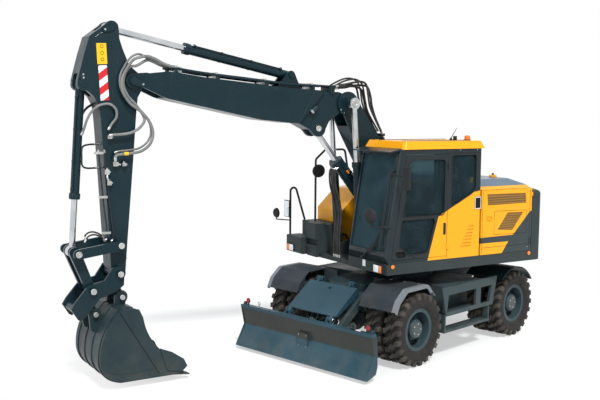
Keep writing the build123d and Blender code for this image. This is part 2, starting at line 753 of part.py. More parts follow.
# Side doors of the engine bay
for name, side in (("left", 1), ("right", -1)):
    low = min(side * (upper_half_width - door_wall), side * upper_half_width)
    with BuildPart() as door:
        side_plate(
            [
                (hood_front - joint_gap, skirt_top + joint_gap), (hood_front - joint_gap, hood_side_top),
                (hood_rear + joint_gap, hood_side_top), (hood_rear + joint_gap, skirt_top + joint_gap),
            ],
            low, low + door_wall,
        )
        face = side * upper_half_width
        pocket_low = min(face, face - side * grille_depth)
        for pocket in (upper_grille, lower_grille):
            side_plate(pocket, pocket_low, pocket_low + grille_depth, mode=Mode.SUBTRACT)
            rear, front = min(x for x, z in pocket), max(x for x, z in pocket)
            bottom, top = min(z for x, z in pocket), max(z for x, z in pocket)
            slats = int((top - bottom) / slat_pitch)
            with BuildSketch(Plane.XZ.offset(-pocket_low - grille_depth)) as grille:
                for row in range(slats):
                    with Locations(((rear + front) / 2, bottom + slat_pitch * (row + 0.6))):
                        Rectangle(front - rear, slat_width)
                with BuildLine():
                    Polyline(pocket, close=True)
                make_face(mode=Mode.INTERSECT)
            extrude(grille.sketch, amount=grille_depth - 6)
        for level in (1560, 2280):
            hinge_knuckle(hood_rear + joint_gap, side * door_hinge_y, level)
        side_plate([(-645, 2010), (-745, 2006), (-745, 1930), (-645, 1934)], pocket_low, pocket_low + grille_depth, mode=Mode.SUBTRACT)
        low_latch = min(face - side * 4, face - side * 16)
        side_link([(-670, 1985, 14), (-715, 1955, 10)], low_latch - 8, low_latch + 12)
    park(door)
    write(door, f"engine_door_{name}")

# Right deck: lamp step, tool box and the tank housing
with BuildPart() as right_deck:
    pane([(1330, 1330), (1330, 1568), (1060, 1568), (1060, 1460), (1175, 1440), (1175, 1300), (1290, 1300)], 12, -1230, -800)
    block(1060, 1175, -1190, -lift_clear_y, deck_bottom + deck_plate + seat_gap, 1560)
    block(760, 1060, -1190, -lift_clear_y, deck_bottom + deck_plate + seat_gap, 1790)
    # Inner tool box above a step block
    pane([(1060, 1560), (1060, 1815), (1245, 1815), (1245, 1560)], 12, -770, -lift_clear_y)
    pane([(1175, 1290), (1175, 1465), (1245, 1465), (1225, 1290)], 10, -770, -lift_clear_y)
park(right_deck)
write(right_deck, "right_deck")

with BuildPart() as tank_cover:
    with BuildSketch(Plane.XZ.offset(lift_clear_y)) as profile:
        with BuildLine():
            FilletPolyline(
                [(755, skirt_top), (755, 1990), (430, 2300), (hood_front, 2400), (hood_front, skirt_top)],
                radius=60, close=True,
            )
        make_face()
    extrude(profile.sketch, amount=upper_half_width - lift_clear_y)
    fillet(tank_cover.edges().filter_by(lambda edge: edge.center().Y < 1 - upper_half_width and edge.center().Z > 1900), 45)
park(tank_cover)
write(tank_cover, "tank_cover")


def cab_front_x(z):
    """Front face of the cab at a height above its lower corner"""
    share = (z - cab_front_low[1]) / (cab_front_high[1] - cab_front_low[1])
    return cab_front_low[0] + share * (cab_front_high[0] - cab_front_low[0])


upper_pane = [(175, 2085), (175, 2870), (800, 2870), (925, 2085)]
lower_pane = [(330, 2040), (470, 1560), (800, 1540), (980, 1690), (930, 2040)]
door_recess = [(1025, 1600), (850, 1596), (860, 1520), (990, 1515), (1030, 1560)]
rear_pane = [(50, 2200), (50, 2930), (-410, 2930), (-410, 2440), (-330, 2370), (-60, 2240)]
right_pane = [(880, 2000), (780, 2930), (-400, 2930), (-400, 2100)]

# Cab shell, hollow, with its window and door openings cut
with BuildPart() as cab_shell:
    side_plate(
        [(1150, cab_floor), cab_front_low, cab_front_high, (cab_rear, cab_eaves), (cab_rear, cab_floor)],
        cab_right, cab_left,
    )
    slant = [edge for edge in cab_shell.edges() if edge.center().X > 1000 and abs(edge.tangent_at(0).Y) < 0.1 and edge.length > 500]
    fillet(slant, 70)
    side_plate(
        [
            (1150 - cab_wall, cab_floor + cab_wall), (cab_front_low[0] - cab_wall, cab_front_low[1]),
            (cab_front_high[0] - cab_wall, cab_eaves - cab_wall), (cab_rear + cab_wall, cab_eaves - cab_wall),
            (cab_rear + cab_wall, cab_floor + cab_wall),
        ],
        cab_right + cab_wall, cab_left - cab_wall, mode=Mode.SUBTRACT,
    )
    # Windscreen, door opening, rear side windows, rear window
    block(850, 1300, cab_right + 70, cab_left - 90, 1600, 2940, mode=Mode.SUBTRACT)
    side_plate(
        [
            (door_rear, cab_floor + cab_wall), (cab_front_x(1540) - 110, cab_floor + cab_wall),
            (cab_front_x(1540) - 100, 1540), (cab_front_x(2950) - 100, 2950), (door_rear, 2950),
        ],
        cab_left - cab_wall - 1, cab_left + 1, mode=Mode.SUBTRACT,
    )
    pane(rear_pane, 30, cab_left - cab_wall - 1, cab_left + 1, mode=Mode.SUBTRACT)
    pane(right_pane, 40, cab_right - 1, cab_right + cab_wall + 1, mode=Mode.SUBTRACT)
    block(cab_rear - 1, cab_rear + cab_wall + 1, cab_right + 90, cab_left - 90, 2300, 2930, mode=Mode.SUBTRACT)
    # Louvred vent behind the door, foot recess seam and visor over the windscreen
    for row in range(7):
        z = 1590 + 48 * row
        shift = 24 * row
        side_plate([(-150 - shift, z), (-330 - shift * 0.4, z), (-330 - shift * 0.4, z + 20), (-150 - shift, z + 20)], cab_left - 12, cab_left + 1, mode=Mode.SUBTRACT)
    side_plate([(945, 3004), (1130, 2978), (1134, 2992), (955, 3034), (945, 3019)], cab_right + 25, cab_left - 25)
    block(cab_rear - 34, cab_rear + 1, cab_right + 40, cab_left - 40, 2960, 3015)
    for level in (1600, 2750):
        block(door_rear - 30, door_rear - 1, cab_left - 1, door_hinge_y + door_knuckle, level - 14, level)
        block(door_rear - 30, door_rear + 11, cab_left + 4.5, door_hinge_y + door_knuckle, level - 14, level)
        hinge_pin(door_rear + joint_gap, door_hinge_y, level)
park(cab_shell)
write(cab_shell, "cab_shell")

# Cab roof
with BuildPart() as cab_roof:
    with BuildSketch(Plane.XY.offset(cab_eaves + seat_gap)) as low:
        with Locations(((930 - 590) / 2, (cab_right + cab_left) / 2)):
            RectangleRounded(930 + 590, cab_left - cab_right + 30, 60)
    with BuildSketch(Plane.XY.offset(roof_top)) as high:
        with Locations(((900 - 560) / 2, (cab_right + cab_left) / 2)):
            RectangleRounded(900 + 560 - 40, cab_left - cab_right - 60, 60)
    loft([low.sketch, high.sketch])
park(cab_roof)
write(cab_roof, "cab_roof")

# Cab door with two windows, and its panes
door_points = [
    (door_rear + joint_gap, cab_floor + cab_wall + joint_gap),
    (cab_front_x(1540) - 116, cab_floor + cab_wall + joint_gap),
    (cab_front_x(1540) - 106, 1540),
    (cab_front_x(2945) - 106, 2945),
    (door_rear + joint_gap, 2945),
]
with BuildPart() as cab_door:
    side_plate(door_points, cab_left - door_wall, cab_left)
    for level in (1600, 2750):
        hinge_knuckle(door_rear + joint_gap, door_hinge_y, level)
    for window in (upper_pane, lower_pane):
        pane(window, 45, cab_left - door_wall - 1, cab_left + 1, mode=Mode.SUBTRACT)
    # Recessed step and grab in the lower front corner, and the latch
    pane(door_recess, 20, cab_left - 24, cab_left + 1, mode=Mode.SUBTRACT)
    cross_pin((705, 1524), 13, cab_left - 5, cab_left + 6)
park(cab_door)
write(cab_door, "cab_door")
with BuildPart() as door_glass:
    for window in (upper_pane, lower_pane):
        pane(window, 45, cab_left - door_wall / 2 - glass_wall, cab_left - door_wall / 2)
park(door_glass)
write(door_glass, "door_glass")

with BuildPart() as cab_glass:
    side_plate(
        [
            (cab_front_x(1600) - 25, 1600), (cab_front_x(2940) - 25, 2940),
            (cab_front_x(2940) - 25 - glass_wall, 2940), (cab_front_x(1600) - 25 - glass_wall, 1600),
        ],
        cab_right + 70, cab_left - 90,
    )
    pane(rear_pane, 30, cab_left - 30, cab_left - 30 + glass_wall)
    pane(right_pane, 40, cab_right + 20, cab_right + 20 + glass_wall)
    block(cab_rear + 20, cab_rear + 20 + glass_wall, cab_right + 90, cab_left - 90, 2300, 2930)
park(cab_glass)
write(cab_glass, "cab_glass")

# Seat, consoles and steering column
with BuildPart() as cab_interior:
    block(-280, 250, 520, 1020, cab_floor + cab_wall, 1800)
    block(-250, 270, 530, 1010, 1800, 1930)
    side_plate([(-330, 1900), (-200, 1900), (-260, 2560), (-360, 2560)], 550, 990)
    block(-200, 350, 400, 500, cab_floor + cab_wall, 2020)
    block(-200, 350, 1040, 1140, cab_floor + cab_wall, 2020)
    side_link([(780, cab_floor + cab_wall + 50, 50), (700, 2120, 40)], 730, 810)
park(cab_interior)
write(cab_interior, "cab_interior")

# Handrails and mirror posts
def rail(points, y, radius=17, bend=60):
    """A bent round tube that stays in a plane of constant Y"""
    path = [(x, y, z) for x, z in points]
    with BuildLine() as line:
        FilletPolyline(path, radius=bend)
    start = line.wires()[0]
    with BuildSketch(Plane(origin=start @ 0, z_dir=start % 0)) as section:
        Circle(radius)
    sweep(section.sketch, path=start)


with BuildPart() as handrails:
    rail([(1300, 1570 + seat_gap), (1300, 2320), (1200, 2320), (1030, 1798)], -1170)
    rail([(1000, 1790 + seat_gap), (1000, 2780), (820, 2930), (450, 2930), (350, 2410)], -900)
    rail_low = cab_front_x(1640)
    rail_high = cab_front_x(2720)
    rail([(rail_low + 3, 1640), (rail_low + 70, 1640), (rail_high + 70, 2720), (rail_high + 3, 2720)], 1160, bend=30)
park(handrails)
write(handrails, "handrails")

# Mirror heads and their stalks, which stand out from the handrails
with BuildPart() as mirrors:
    pane([(1317.3, 1850), (1317.3, 2120), (1345, 2120), (1345, 1850)], 10, -1290, -1130)
    pane([(1045, 2490), (1045, 2795), (1075, 2795), (1075, 2490)], 10, 1430, 1570)
    round_heads = [
        # centre, direction the head faces, radius
        ((1475, -1300, 1915), (1, 0.1, 0), 80),
        ((985, -835, 2600), (0.25, 1, -0.1), 105),
    ]
    for centre, facing, radius in round_heads:
        with BuildSketch(Plane(origin=centre, z_dir=facing)) as head:
            Circle(radius)
        extrude(head.sketch, amount=26, taper=25)
    stalks = [
        ((1314.7, -1179, 1800), (1490, -1287, 1815), (1490, -1300, 1900)),
        ((996.2, -883.1, 2600), (990, -850, 2600), (985, -830, 2600)),
        ((1090, 1177.4, 2674), (1088, 1300, 2674), (1066, 1440, 2674)),
    ]
    for path in stalks:
        with BuildLine() as stalk:
            Polyline(path)
        with BuildSketch(Plane(origin=path[0], z_dir=stalk.line % 0)) as section:
            Circle(9)
        sweep(section.sketch, path=stalk.line, transition=Transition.RIGHT)
park(mirrors)
write(mirrors, "mirrors")

# Lamps: head lamps in the front corners and the beacon
with BuildPart() as lamps:
    pane([(1170, 1300), (1170, 1425), (1225, 1425), (1225, 1300)], 10, 985, 1190)
    pane([(1330, 1320), (1330, 1440), (1348, 1440), (1348, 1320)], 6, -1195, -985)
    for x in (1085, -1520):
        cross_pin((x, 1400), 20, upper_half_width, upper_half_width + 12)
    with BuildSketch(Plane.XY.offset(roof_top)) as beacon:
        with Locations((-440, 1000)):
            Circle(40)
    extrude(beacon.sketch, amount=60)
park(lamps)
write(lamps, "lamps")

# Lower boom: box with a fork at the elbow, lugs for the adjusting cylinder
lower_front = [(1125, 3490), (1010, 3260), (700, 2730), (610, 2420), (500, 2120), (255, 1800)]
lower_rear = [(20, 1960), (40, 2250), (180, 2640), (420, 3080), (640, 3370), (880, 3700)]
with BuildPart() as lower_boom:
    side_plate(lower_front + lower_rear, boom_y - lower_boom_half, boom_y + lower_boom_half)
    cross_pin(boom_elbow, 175, boom_y - lower_boom_half, boom_y + lower_boom_half)
    # Fork slot round the upper boom's hub
    cross_pin(boom_elbow, 330, boom_y - lower_fork_inner, boom_y + lower_fork_inner, mode=Mode.SUBTRACT)
    cross_pin(boom_foot, 130, boom_y - boom_foot_half, boom_y + boom_foot_half)
    cross_pin(boom_foot, boom_pin + running_gap, boom_y - 300, boom_y + 300, mode=Mode.SUBTRACT)
    cross_pin(boom_elbow, elbow_pin, boom_y - lift_cylinder_y + 43, boom_y + lift_cylinder_y - 43)
    for inner in (-adjust_slot_half - 40, adjust_slot_half):
        side_link([(*adjust_foot, 75), (520, 2230, 60), (480, 2080, 50)], boom_y + inner, boom_y + inner + 40)
    cross_pin(adjust_foot, 105, boom_y - adjust_slot_half, boom_y + adjust_slot_half, mode=Mode.SUBTRACT)
    cross_pin(adjust_foot, cylinder_pin, boom_y - adjust_slot_half - 50, boom_y + adjust_slot_half + 50)
park(lower_boom)
write(lower_boom, "lower_boom")

# Upper boom: tapered box, nose fork, elbow casting and lug
boom_top = [(4300, 3985), (3881, 4036), (3355, 3971), (2701, 3915), (2080, 3861), (1470, 3832)]
boom_under = [(1895, 3360), (2061, 3367), (2530, 3412), (3884, 3676), (3974, 3703), (4260, 3830)]
with BuildPart() as upper_boom:
    side_plate(boom_top + boom_under, boom_y - upper_boom_half, boom_y + upper_boom_half)
    side_link([(*boom_nose, 95), (4200, 3920, 90)], boom_y - upper_boom_half, boom_y + upper_boom_half)
    side_plate([(3930, 3500), (3930, 4200), (4600, 4200), (4600, 3500)], boom_y - nose_slot_half, boom_y + nose_slot_half, mode=Mode.SUBTRACT)
    # Elbow casting and the lug for the adjusting cylinder
    side_link([(*boom_elbow, 140), (1500, 3690, 130)], boom_y - elbow_half, boom_y + elbow_half)
    side_plate([(1480, 3830), (1900, 3370), (1690, 3270), (1434, 3258), (1364, 3390), (1150, 3530), (1150, 3780)], boom_y - elbow_half, boom_y + elbow_half)
    side_link([(*adjust_pin, 118), (1660, 3400, 110)], boom_y - elbow_half, boom_y + elbow_half)
    cross_pin(adjust_pin, 150, boom_y - cylinder_slot_half, boom_y + cylinder_slot_half, mode=Mode.SUBTRACT)
    side_plate([(1541, 3435), (1400, 3435), (1400, 3100), (1541, 3100)], boom_y - cylinder_slot_half, boom_y + cylinder_slot_half, mode=Mode.SUBTRACT)
    # Arm cylinder foot lugs
    for inner in (-112, 76):
        side_link([(*arm_cylinder_foot, 65), (1900, 3840, 60), (2160, 3850, 60)], boom_y + inner, boom_y + inner + 36)
    cross_pin(arm_cylinder_foot, cylinder_pin, boom_y - 125, boom_y + 125)
    cross_pin(boom_elbow, elbow_pin + running_gap, boom_y - 200, boom_y + 200, mode=Mode.SUBTRACT)
    cross_pin(boom_nose, nose_pin + running_gap, boom_y - 200, boom_y + 200, mode=Mode.SUBTRACT)
    # Steel pipes along both edges of the top plate, held by clamps
    pipe_path = [(1560, 3893), (2080, 3912), (2701, 3966), (3355, 4022), (3840, 4086)]
    for side in (-1, 1):
        rail(pipe_path, boom_y + side * 150, radius=15, bend=200)
        for x, z in ((1640, 3842), (2400, 3886), (3150, 3950), (3760, 4018)):
            block(x, x + 40, boom_y + side * 150 - 24, boom_y + side * 150 + 24, z - 12, z + 72)
park(upper_boom)
write(upper_boom, "upper_boom")

# Arm: tapered box whose head plates carry two cylinders
arm_outline = [
    (4550, 4535), (4545, 4427), (4506, 4307), (4420, 4100), (4250, 3960), (4235, 3820),
    (4309, 3690), (4332, 3474), (4380, 2872), (4428, 2306), (4468, 1842), (4500, 1440),
    (4690, 1440), (4712, 1939), (4766, 2880), (4800, 3400), (4820, 3580), (4880, 3690), (4960, 3760),
    (5070, 3790), (5090, 3890), (5001, 4220), (4930, 4441), (4720, 4600),
]
with BuildPart() as arm:
    side_plate(arm_outline, boom_y - arm_half, boom_y + arm_half)
    cross_pin(arm_cylinder_pin, 88, boom_y - arm_half, boom_y + arm_half)
    cross_pin(bucket_cylinder_foot, 82, boom_y - arm_half, boom_y + arm_half)
    cross_pin(arm_tip, 100, boom_y - arm_half, boom_y + arm_half)
    side_plate([(4440, 4370), (4440, 4800), (4900, 4800), (4790, 4400)], boom_y - cylinder_slot_half, boom_y + cylinder_slot_half, mode=Mode.SUBTRACT)
    side_plate([(4880, 3600), (4880, 3980), (5200, 3980), (5200, 3600)], boom_y - cylinder_slot_half, boom_y + cylinder_slot_half, mode=Mode.SUBTRACT)
    cross_pin(boom_nose, nose_pin, boom_y - 210, boom_y + 210)
    cross_pin(bucket_cylinder_foot, cylinder_pin, boom_y - arm_half, boom_y + arm_half)
    cross_pin(arm_tip, linkage_pin + running_gap, boom_y - arm_half - 1, boom_y + arm_half + 1, mode=Mode.SUBTRACT)
    cross_pin(rocker_pin, linkage_pin + running_gap, boom_y - arm_half - 1, boom_y + arm_half + 1, mode=Mode.SUBTRACT)
park(arm)
write(arm, "arm")

# Bucket linkage: rocker bars on the arm, and the push link on the coupler
with BuildPart() as rocker:
    side_link([(*rocker_pin, 62), (*knee_pin, 62)], boom_y + rocker_inner, boom_y + rocker_inner + rocker_wall)
    cross_pin(knee_pin, 45, boom_y + rocker_inner - 40, boom_y + rocker_inner + rocker_wall + 12)
    both_boom_sides()
    cross_pin(rocker_pin, linkage_pin, boom_y - rocker_inner - rocker_wall - 12, boom_y + rocker_inner + rocker_wall + 12)
park(rocker)
write(rocker, "rocker")

with BuildPart() as push_link:
    side_link([(*knee_pin, 70), (*link_pin, 60)], boom_y + 90, boom_y + 90 + 60)
    both_boom_sides()
    middle = ((knee_pin[0] + link_pin[0]) / 2, (knee_pin[1] + link_pin[1]) / 2)
    cross_pin(middle, 45, boom_y - 91, boom_y + 91)
    cross_pin(link_pin, linkage_pin + running_gap, boom_y - 200, boom_y + 200, mode=Mode.SUBTRACT)
park(push_link)
write(push_link, "push_link")

# Coupler: two side plates joined by cross tubes
coupler_outline = [
    (4534, 1455), (4543, 1283), (4640, 1205), (4860, 1140), (5040, 930), (5110, 870), (5148, 888),
    (5236, 1028), (5183, 1113), (5010, 1316), (4798, 1361), (4689, 1521), (4600, 1535),
]
with BuildPart() as coupler:
    side_plate(coupler_outline, boom_y + coupler_half - coupler_wall, boom_y + coupler_half)
    both_boom_sides()
    cross_pin((5150, 1010), 55, boom_y - coupler_half, boom_y + coupler_half)
    cross_pin((4700, 1235), 40, boom_y - coupler_half, boom_y + coupler_half)
    for point in (arm_tip, link_pin):
        cross_pin(point, linkage_pin, boom_y - coupler_half - 45, boom_y + coupler_half + 45)
    for point in (bucket_front_pin, bucket_rear_pin):
        side_link([(*point, 60), (point[0] + 60, point[1] + 110, 60)], boom_y + 85, boom_y + 85 + 30)
        side_link([(*point, 60), (point[0] + 60, point[1] + 110, 60)], boom_y - 115, boom_y - 85)
    for low in (boom_y - 115, boom_y + 85):
        side_link([(4978, 1042, 60), (5150, 1010, 55)], low, low + 30)
    for point in (bucket_front_pin, bucket_rear_pin):
        cross_pin(point, 35 + seat_gap, boom_y - 130, boom_y + 130, mode=Mode.SUBTRACT)
park(coupler)
write(coupler, "coupler")

# Bucket: curved shell between two side plates, ears and a cutting edge
lip = (3862, 118)


def bucket_side(grow, y_from, y_to, mode=Mode.ADD):
    """Side outline of the bucket: curved mouth edge, flat floor and a back rounded to its top"""
    with BuildSketch(Plane.XZ.offset(-y_to)) as profile:
        with BuildLine():
            Polyline((4710, 1012 + grow), (4555, 1034 + grow), (4452, 1008), (4400, 900))
            ThreePointArc((4400, 900), (4262, 560), (3950, 300))
            Polyline((3950, 300), (3862, 262), lip, (3960, 92 - grow), (4700, 90 - grow))
            ThreePointArc((4700, 90 - grow), (4905 + grow, 205 - grow), (4972 + grow, 420))
            ThreePointArc((4972 + grow, 420), (4920 + grow, 690), (4824 + grow, 869))
            Line((4824 + grow, 869), (4710, 1012 + grow))
        make_face()
    extrude(profile.sketch, amount=y_to - y_from, mode=mode)


with BuildPart() as bucket:
    bucket_side(0, boom_y - bucket_half, boom_y + bucket_half)
    # The bowl, open towards the mouth
    with BuildSketch(Plane.XZ.offset(-boom_y - bucket_half + 25)) as bowl:
        with BuildLine():
            Polyline((4600, 984), (4440, 1030), (3700, 1030), (3700, 116), (4695, 116))
            ThreePointArc((4695, 116), (4882, 222), (4946, 420))
            ThreePointArc((4946, 420), (4895, 685), (4802, 855))
            Line((4802, 855), (4600, 984))
        make_face()
    extrude(bowl.sketch, amount=2 * (bucket_half - 25), mode=Mode.SUBTRACT)
    # Wear straps round the back, side cutters at the mouth and the teeth
    for place in (-420, -140, 140, 420):
        bucket_side(10, boom_y + place - 30, boom_y + place + 30)
        with BuildSketch(Plane.XZ.offset(-boom_y - place - 31)) as inside:
            with BuildLine():
                Polyline((4600, 984), (4440, 1060), (3700, 1060), (3700, 116), (4695, 116))
                ThreePointArc((4695, 116), (4882, 222), (4946, 420))
                ThreePointArc((4946, 420), (4895, 685), (4802, 855))
                Line((4802, 855), (4600, 984))
            make_face()
        extrude(inside.sketch, amount=62, mode=Mode.SUBTRACT)
    for side in (-1, 1):
        low = boom_y + min(side * (bucket_half - 1), side * (bucket_half + 18))
        side_plate([(4180, 470), (4080, 170), (3870, 128), (3800, 190), (3850, 290), (4010, 400)], low, low + 19)
    for inner in (ear_half - ear_wall, -ear_half):
        side_link([(*bucket_front_pin, 85), (4600, 1000, 60)], boom_y + inner, boom_y + inner + ear_wall)
        side_link([(*bucket_rear_pin, 80), (4920, 760, 60)], boom_y + inner, boom_y + inner + ear_wall)
    for point in (bucket_front_pin, bucket_rear_pin):
        cross_pin(point, 35, boom_y - ear_half - 50, boom_y + ear_half + 50)
    for place in (-445, -222, 0, 222, 445):
        side_plate([(3990, 86), (3990, 128), (3900, 140), (3748, 66), (3752, 56)], boom_y + place - 42, boom_y + place + 42)
park(bucket)
write(bucket, "bucket")
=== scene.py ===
# Wheeled excavator, dressed for its picture: finishes on every CAD node, tyre tread, hoses, glass,
# lamps, bolts and stripes. Metres, in the same frame as the CAD model.
import math

import bmesh
import bpy
from mathutils import Matrix, Vector


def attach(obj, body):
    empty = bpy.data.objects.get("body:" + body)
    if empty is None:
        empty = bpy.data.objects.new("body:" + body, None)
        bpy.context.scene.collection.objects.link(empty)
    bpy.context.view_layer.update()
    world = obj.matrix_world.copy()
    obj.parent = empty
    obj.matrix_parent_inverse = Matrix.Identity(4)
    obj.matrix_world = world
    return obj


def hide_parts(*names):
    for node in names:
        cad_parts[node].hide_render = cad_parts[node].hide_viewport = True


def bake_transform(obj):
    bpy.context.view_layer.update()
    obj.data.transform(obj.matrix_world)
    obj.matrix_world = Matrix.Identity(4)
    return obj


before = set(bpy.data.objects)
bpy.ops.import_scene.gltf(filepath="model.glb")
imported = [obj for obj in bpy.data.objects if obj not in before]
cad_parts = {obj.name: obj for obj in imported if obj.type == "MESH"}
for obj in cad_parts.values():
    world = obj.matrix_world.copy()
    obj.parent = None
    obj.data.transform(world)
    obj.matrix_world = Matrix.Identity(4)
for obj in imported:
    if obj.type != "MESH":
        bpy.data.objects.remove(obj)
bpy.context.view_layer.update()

# Floor and studio light
# A pale floor that keeps the machine's shadow and fades into a white background.
# Soft suns stand for studio lamps: one over the cab side, a weaker one from the blade end.


def new_material(name):
    """An empty node material: itself, its nodes and links, Object coordinates and its output"""
    material = bpy.data.materials.new(name)
    material.use_nodes = True
    nodes = material.node_tree.nodes
    nodes.clear()
    coordinates = nodes.new("ShaderNodeTexCoord").outputs["Object"]
    return material, nodes, material.node_tree.links, coordinates, nodes.new("ShaderNodeOutputMaterial")


def worked(nodes, links, operation, first, second):
    """One step of arithmetic on two values"""
    step = nodes.new("ShaderNodeMath")
    step.operation = operation
    for value, socket in ((first, step.inputs[0]), (second, step.inputs[1])):
        if hasattr(value, "links"):
            links.new(value, socket)
        else:
            socket.default_value = value
    return step.outputs[0]


def stretched(nodes, links, value, low, high, to_low=0.0, to_high=1.0, kind="LINEAR"):
    """A value stretched so that low to high becomes to_low to to_high, and held there beyond them"""
    stretch = nodes.new("ShaderNodeMapRange")
    stretch.interpolation_type = kind
    for socket, end in (("From Min", low), ("From Max", high), ("To Min", to_low), ("To Max", to_high)):
        stretch.inputs[socket].default_value = end
    links.new(value, stretch.inputs["Value"])
    return stretch.outputs[0]


def seen_directly(nodes, links):
    """1 for rays that come from the camera, from gloss or through glass, otherwise 0"""
    rays = nodes.new("ShaderNodeLightPath").outputs
    either = worked(nodes, links, "MAXIMUM", rays["Is Camera Ray"], rays["Is Glossy Ray"])
    return worked(nodes, links, "MAXIMUM", either, rays["Is Transmission Ray"])


bpy.context.scene.view_settings.view_transform = "Standard"
studio = bpy.data.worlds.new("studio")
studio.use_nodes = True
bpy.context.scene.world = studio
nodes, links = studio.node_tree.nodes, studio.node_tree.links
nodes.clear()
sky = nodes.new("ShaderNodeBackground")
sky.inputs["Color"].default_value = (0.88, 0.95, 1.0, 1)
sky.inputs["Strength"].default_value = 0.55
backdrop = nodes.new("ShaderNodeBackground")
backdrop.inputs["Color"].default_value = (1, 1, 1, 1)
backdrop.inputs["Strength"].default_value = 1.0
choose = nodes.new("ShaderNodeMixShader")
links.new(seen_directly(nodes, links), choose.inputs[0])
links.new(sky.outputs[0], choose.inputs[1])
links.new(backdrop.outputs[0], choose.inputs[2])
links.new(choose.outputs[0], nodes.new("ShaderNodeOutputWorld").inputs["Surface"])

for name, direction, strength, spread in (
    ("lamp over the cab side", (0.45, 0.75, 1.1), 3.0, 8),
    ("lamp from the blade end", (1.0, 0.1, 0.5), 0.8, 40),
):
    lamp = bpy.data.lights.new(name, "SUN")
    lamp.energy = strength
    lamp.angle = math.radians(spread)
    holder = bpy.data.objects.new(name, lamp)
    holder.rotation_euler = Vector(direction).to_track_quat("Z", "Y").to_euler()
    bpy.context.collection.objects.link(holder)

floor_material, nodes, links, coordinates, output = new_material("pale floor")
distance = nodes.new("ShaderNodeVectorMath")
distance.operation = "LENGTH"
links.new(coordinates, distance.inputs[0])
fade = stretched(nodes, links, distance.outputs["Value"], 2.5, 6.5, 0.50, kind="SMOOTHSTEP")
away = worked(nodes, links, "MULTIPLY", fade, seen_directly(nodes, links))
ground = nodes.new("ShaderNodeBsdfDiffuse")
ground.inputs["Color"].default_value = (0.93, 0.93, 0.92, 1)
white = nodes.new("ShaderNodeEmission")
white.inputs["Strength"].default_value = 1.0
blend = nodes.new("ShaderNodeMixShader")
links.new(away, blend.inputs[0])
links.new(ground.outputs[0], blend.inputs[1])
links.new(white.outputs[0], blend.inputs[2])
links.new(blend.outputs[0], output.inputs["Surface"])

bm = bmesh.new()
bmesh.ops.create_circle(bm, cap_ends=True, segments=96, radius=40)
floor_mesh = bpy.data.meshes.new("floor")
bm.to_mesh(floor_mesh)
bm.free()
floor_mesh.materials.append(floor_material)
floor = bpy.data.objects.new("floor", floor_mesh)
bpy.context.collection.objects.link(floor)
floor.location.z = -0.002

# Camera
# It stands off the left front corner of the machine at about twice the height of a driver's eyes
# and looks slightly down, as in the photograph.
camera_place = Vector((10.856, 8.395, 3.537))
camera_heading = math.radians(224.266)
camera_fall = math.radians(5.779)
camera_roll = math.radians(0.498)
look = Vector(
    (
        math.cos(camera_heading) * math.cos(camera_fall),
        math.sin(camera_heading) * math.cos(camera_fall),
        -math.sin(camera_fall),
    )
)
level_right = look.cross(Vector((0, 0, 1))).normalized()
level_up = level_right.cross(look)
right = math.cos(camera_roll) * level_right + math.sin(camera_roll) * level_up
upward = -math.sin(camera_roll) * level_right + math.cos(camera_roll) * level_up
camera = bpy.data.objects.new("camera", bpy.data.cameras.new("camera"))
camera.data.lens = 52.77
camera_turn = Matrix((right, upward, -look)).transposed().to_4x4()
camera.matrix_world = Matrix.Translation(camera_place) @ camera_turn
bpy.context.collection.objects.link(camera)
bpy.context.scene.camera = camera

# Chassis, axles and knuckles
# Welded steel boxes in a dark grey-green two-pack paint with a slight orange peel.
# The lower they sit, the more pale road dust lies on them.


def mixed(nodes, links, amount, first, second):
    """A colour that goes from first to second as amount goes from 0 to 1"""
    mix = nodes.new("ShaderNodeMix")
    mix.data_type = "RGBA"
    links.new(amount, mix.inputs["Factor"])
    for colour, socket in ((first, mix.inputs[6]), (second, mix.inputs[7])):
        if hasattr(colour, "links"):
            links.new(colour, socket)
        else:
            socket.default_value = (*colour, 1)
    return mix.outputs[2]


def noise(nodes, links, coordinates, scale, detail):
    """Cloudy noise from 0 to 1"""
    made = nodes.new("ShaderNodeTexNoise")
    made.inputs["Scale"].default_value = scale
    made.inputs["Detail"].default_value = detail
    links.new(coordinates, made.inputs["Vector"])
    return made.outputs["Fac"]


def cloud(nodes, links, coordinates, scale, detail, low, high, to_low=0.0, to_high=1.0):
    """Noise stretched so that low to high becomes to_low to to_high"""
    clouds = noise(nodes, links, coordinates, scale, detail)
    return stretched(nodes, links, clouds, low, high, to_low, to_high)


def grained(nodes, links, coordinates, scale, detail, depth):
    """A normal roughened by noise, its depth in metres"""
    bump = nodes.new("ShaderNodeBump")
    bump.inputs["Distance"].default_value = depth
    links.new(noise(nodes, links, coordinates, scale, detail), bump.inputs["Height"])
    return bump.outputs["Normal"]


def axes(nodes, links, coordinates):
    """X, Y and Z of a place, each as a value"""
    split = nodes.new("ShaderNodeSeparateXYZ")
    links.new(coordinates, split.inputs[0])
    return split.outputs["X"], split.outputs["Y"], split.outputs["Z"]


road_dust = (0.20, 0.175, 0.135)


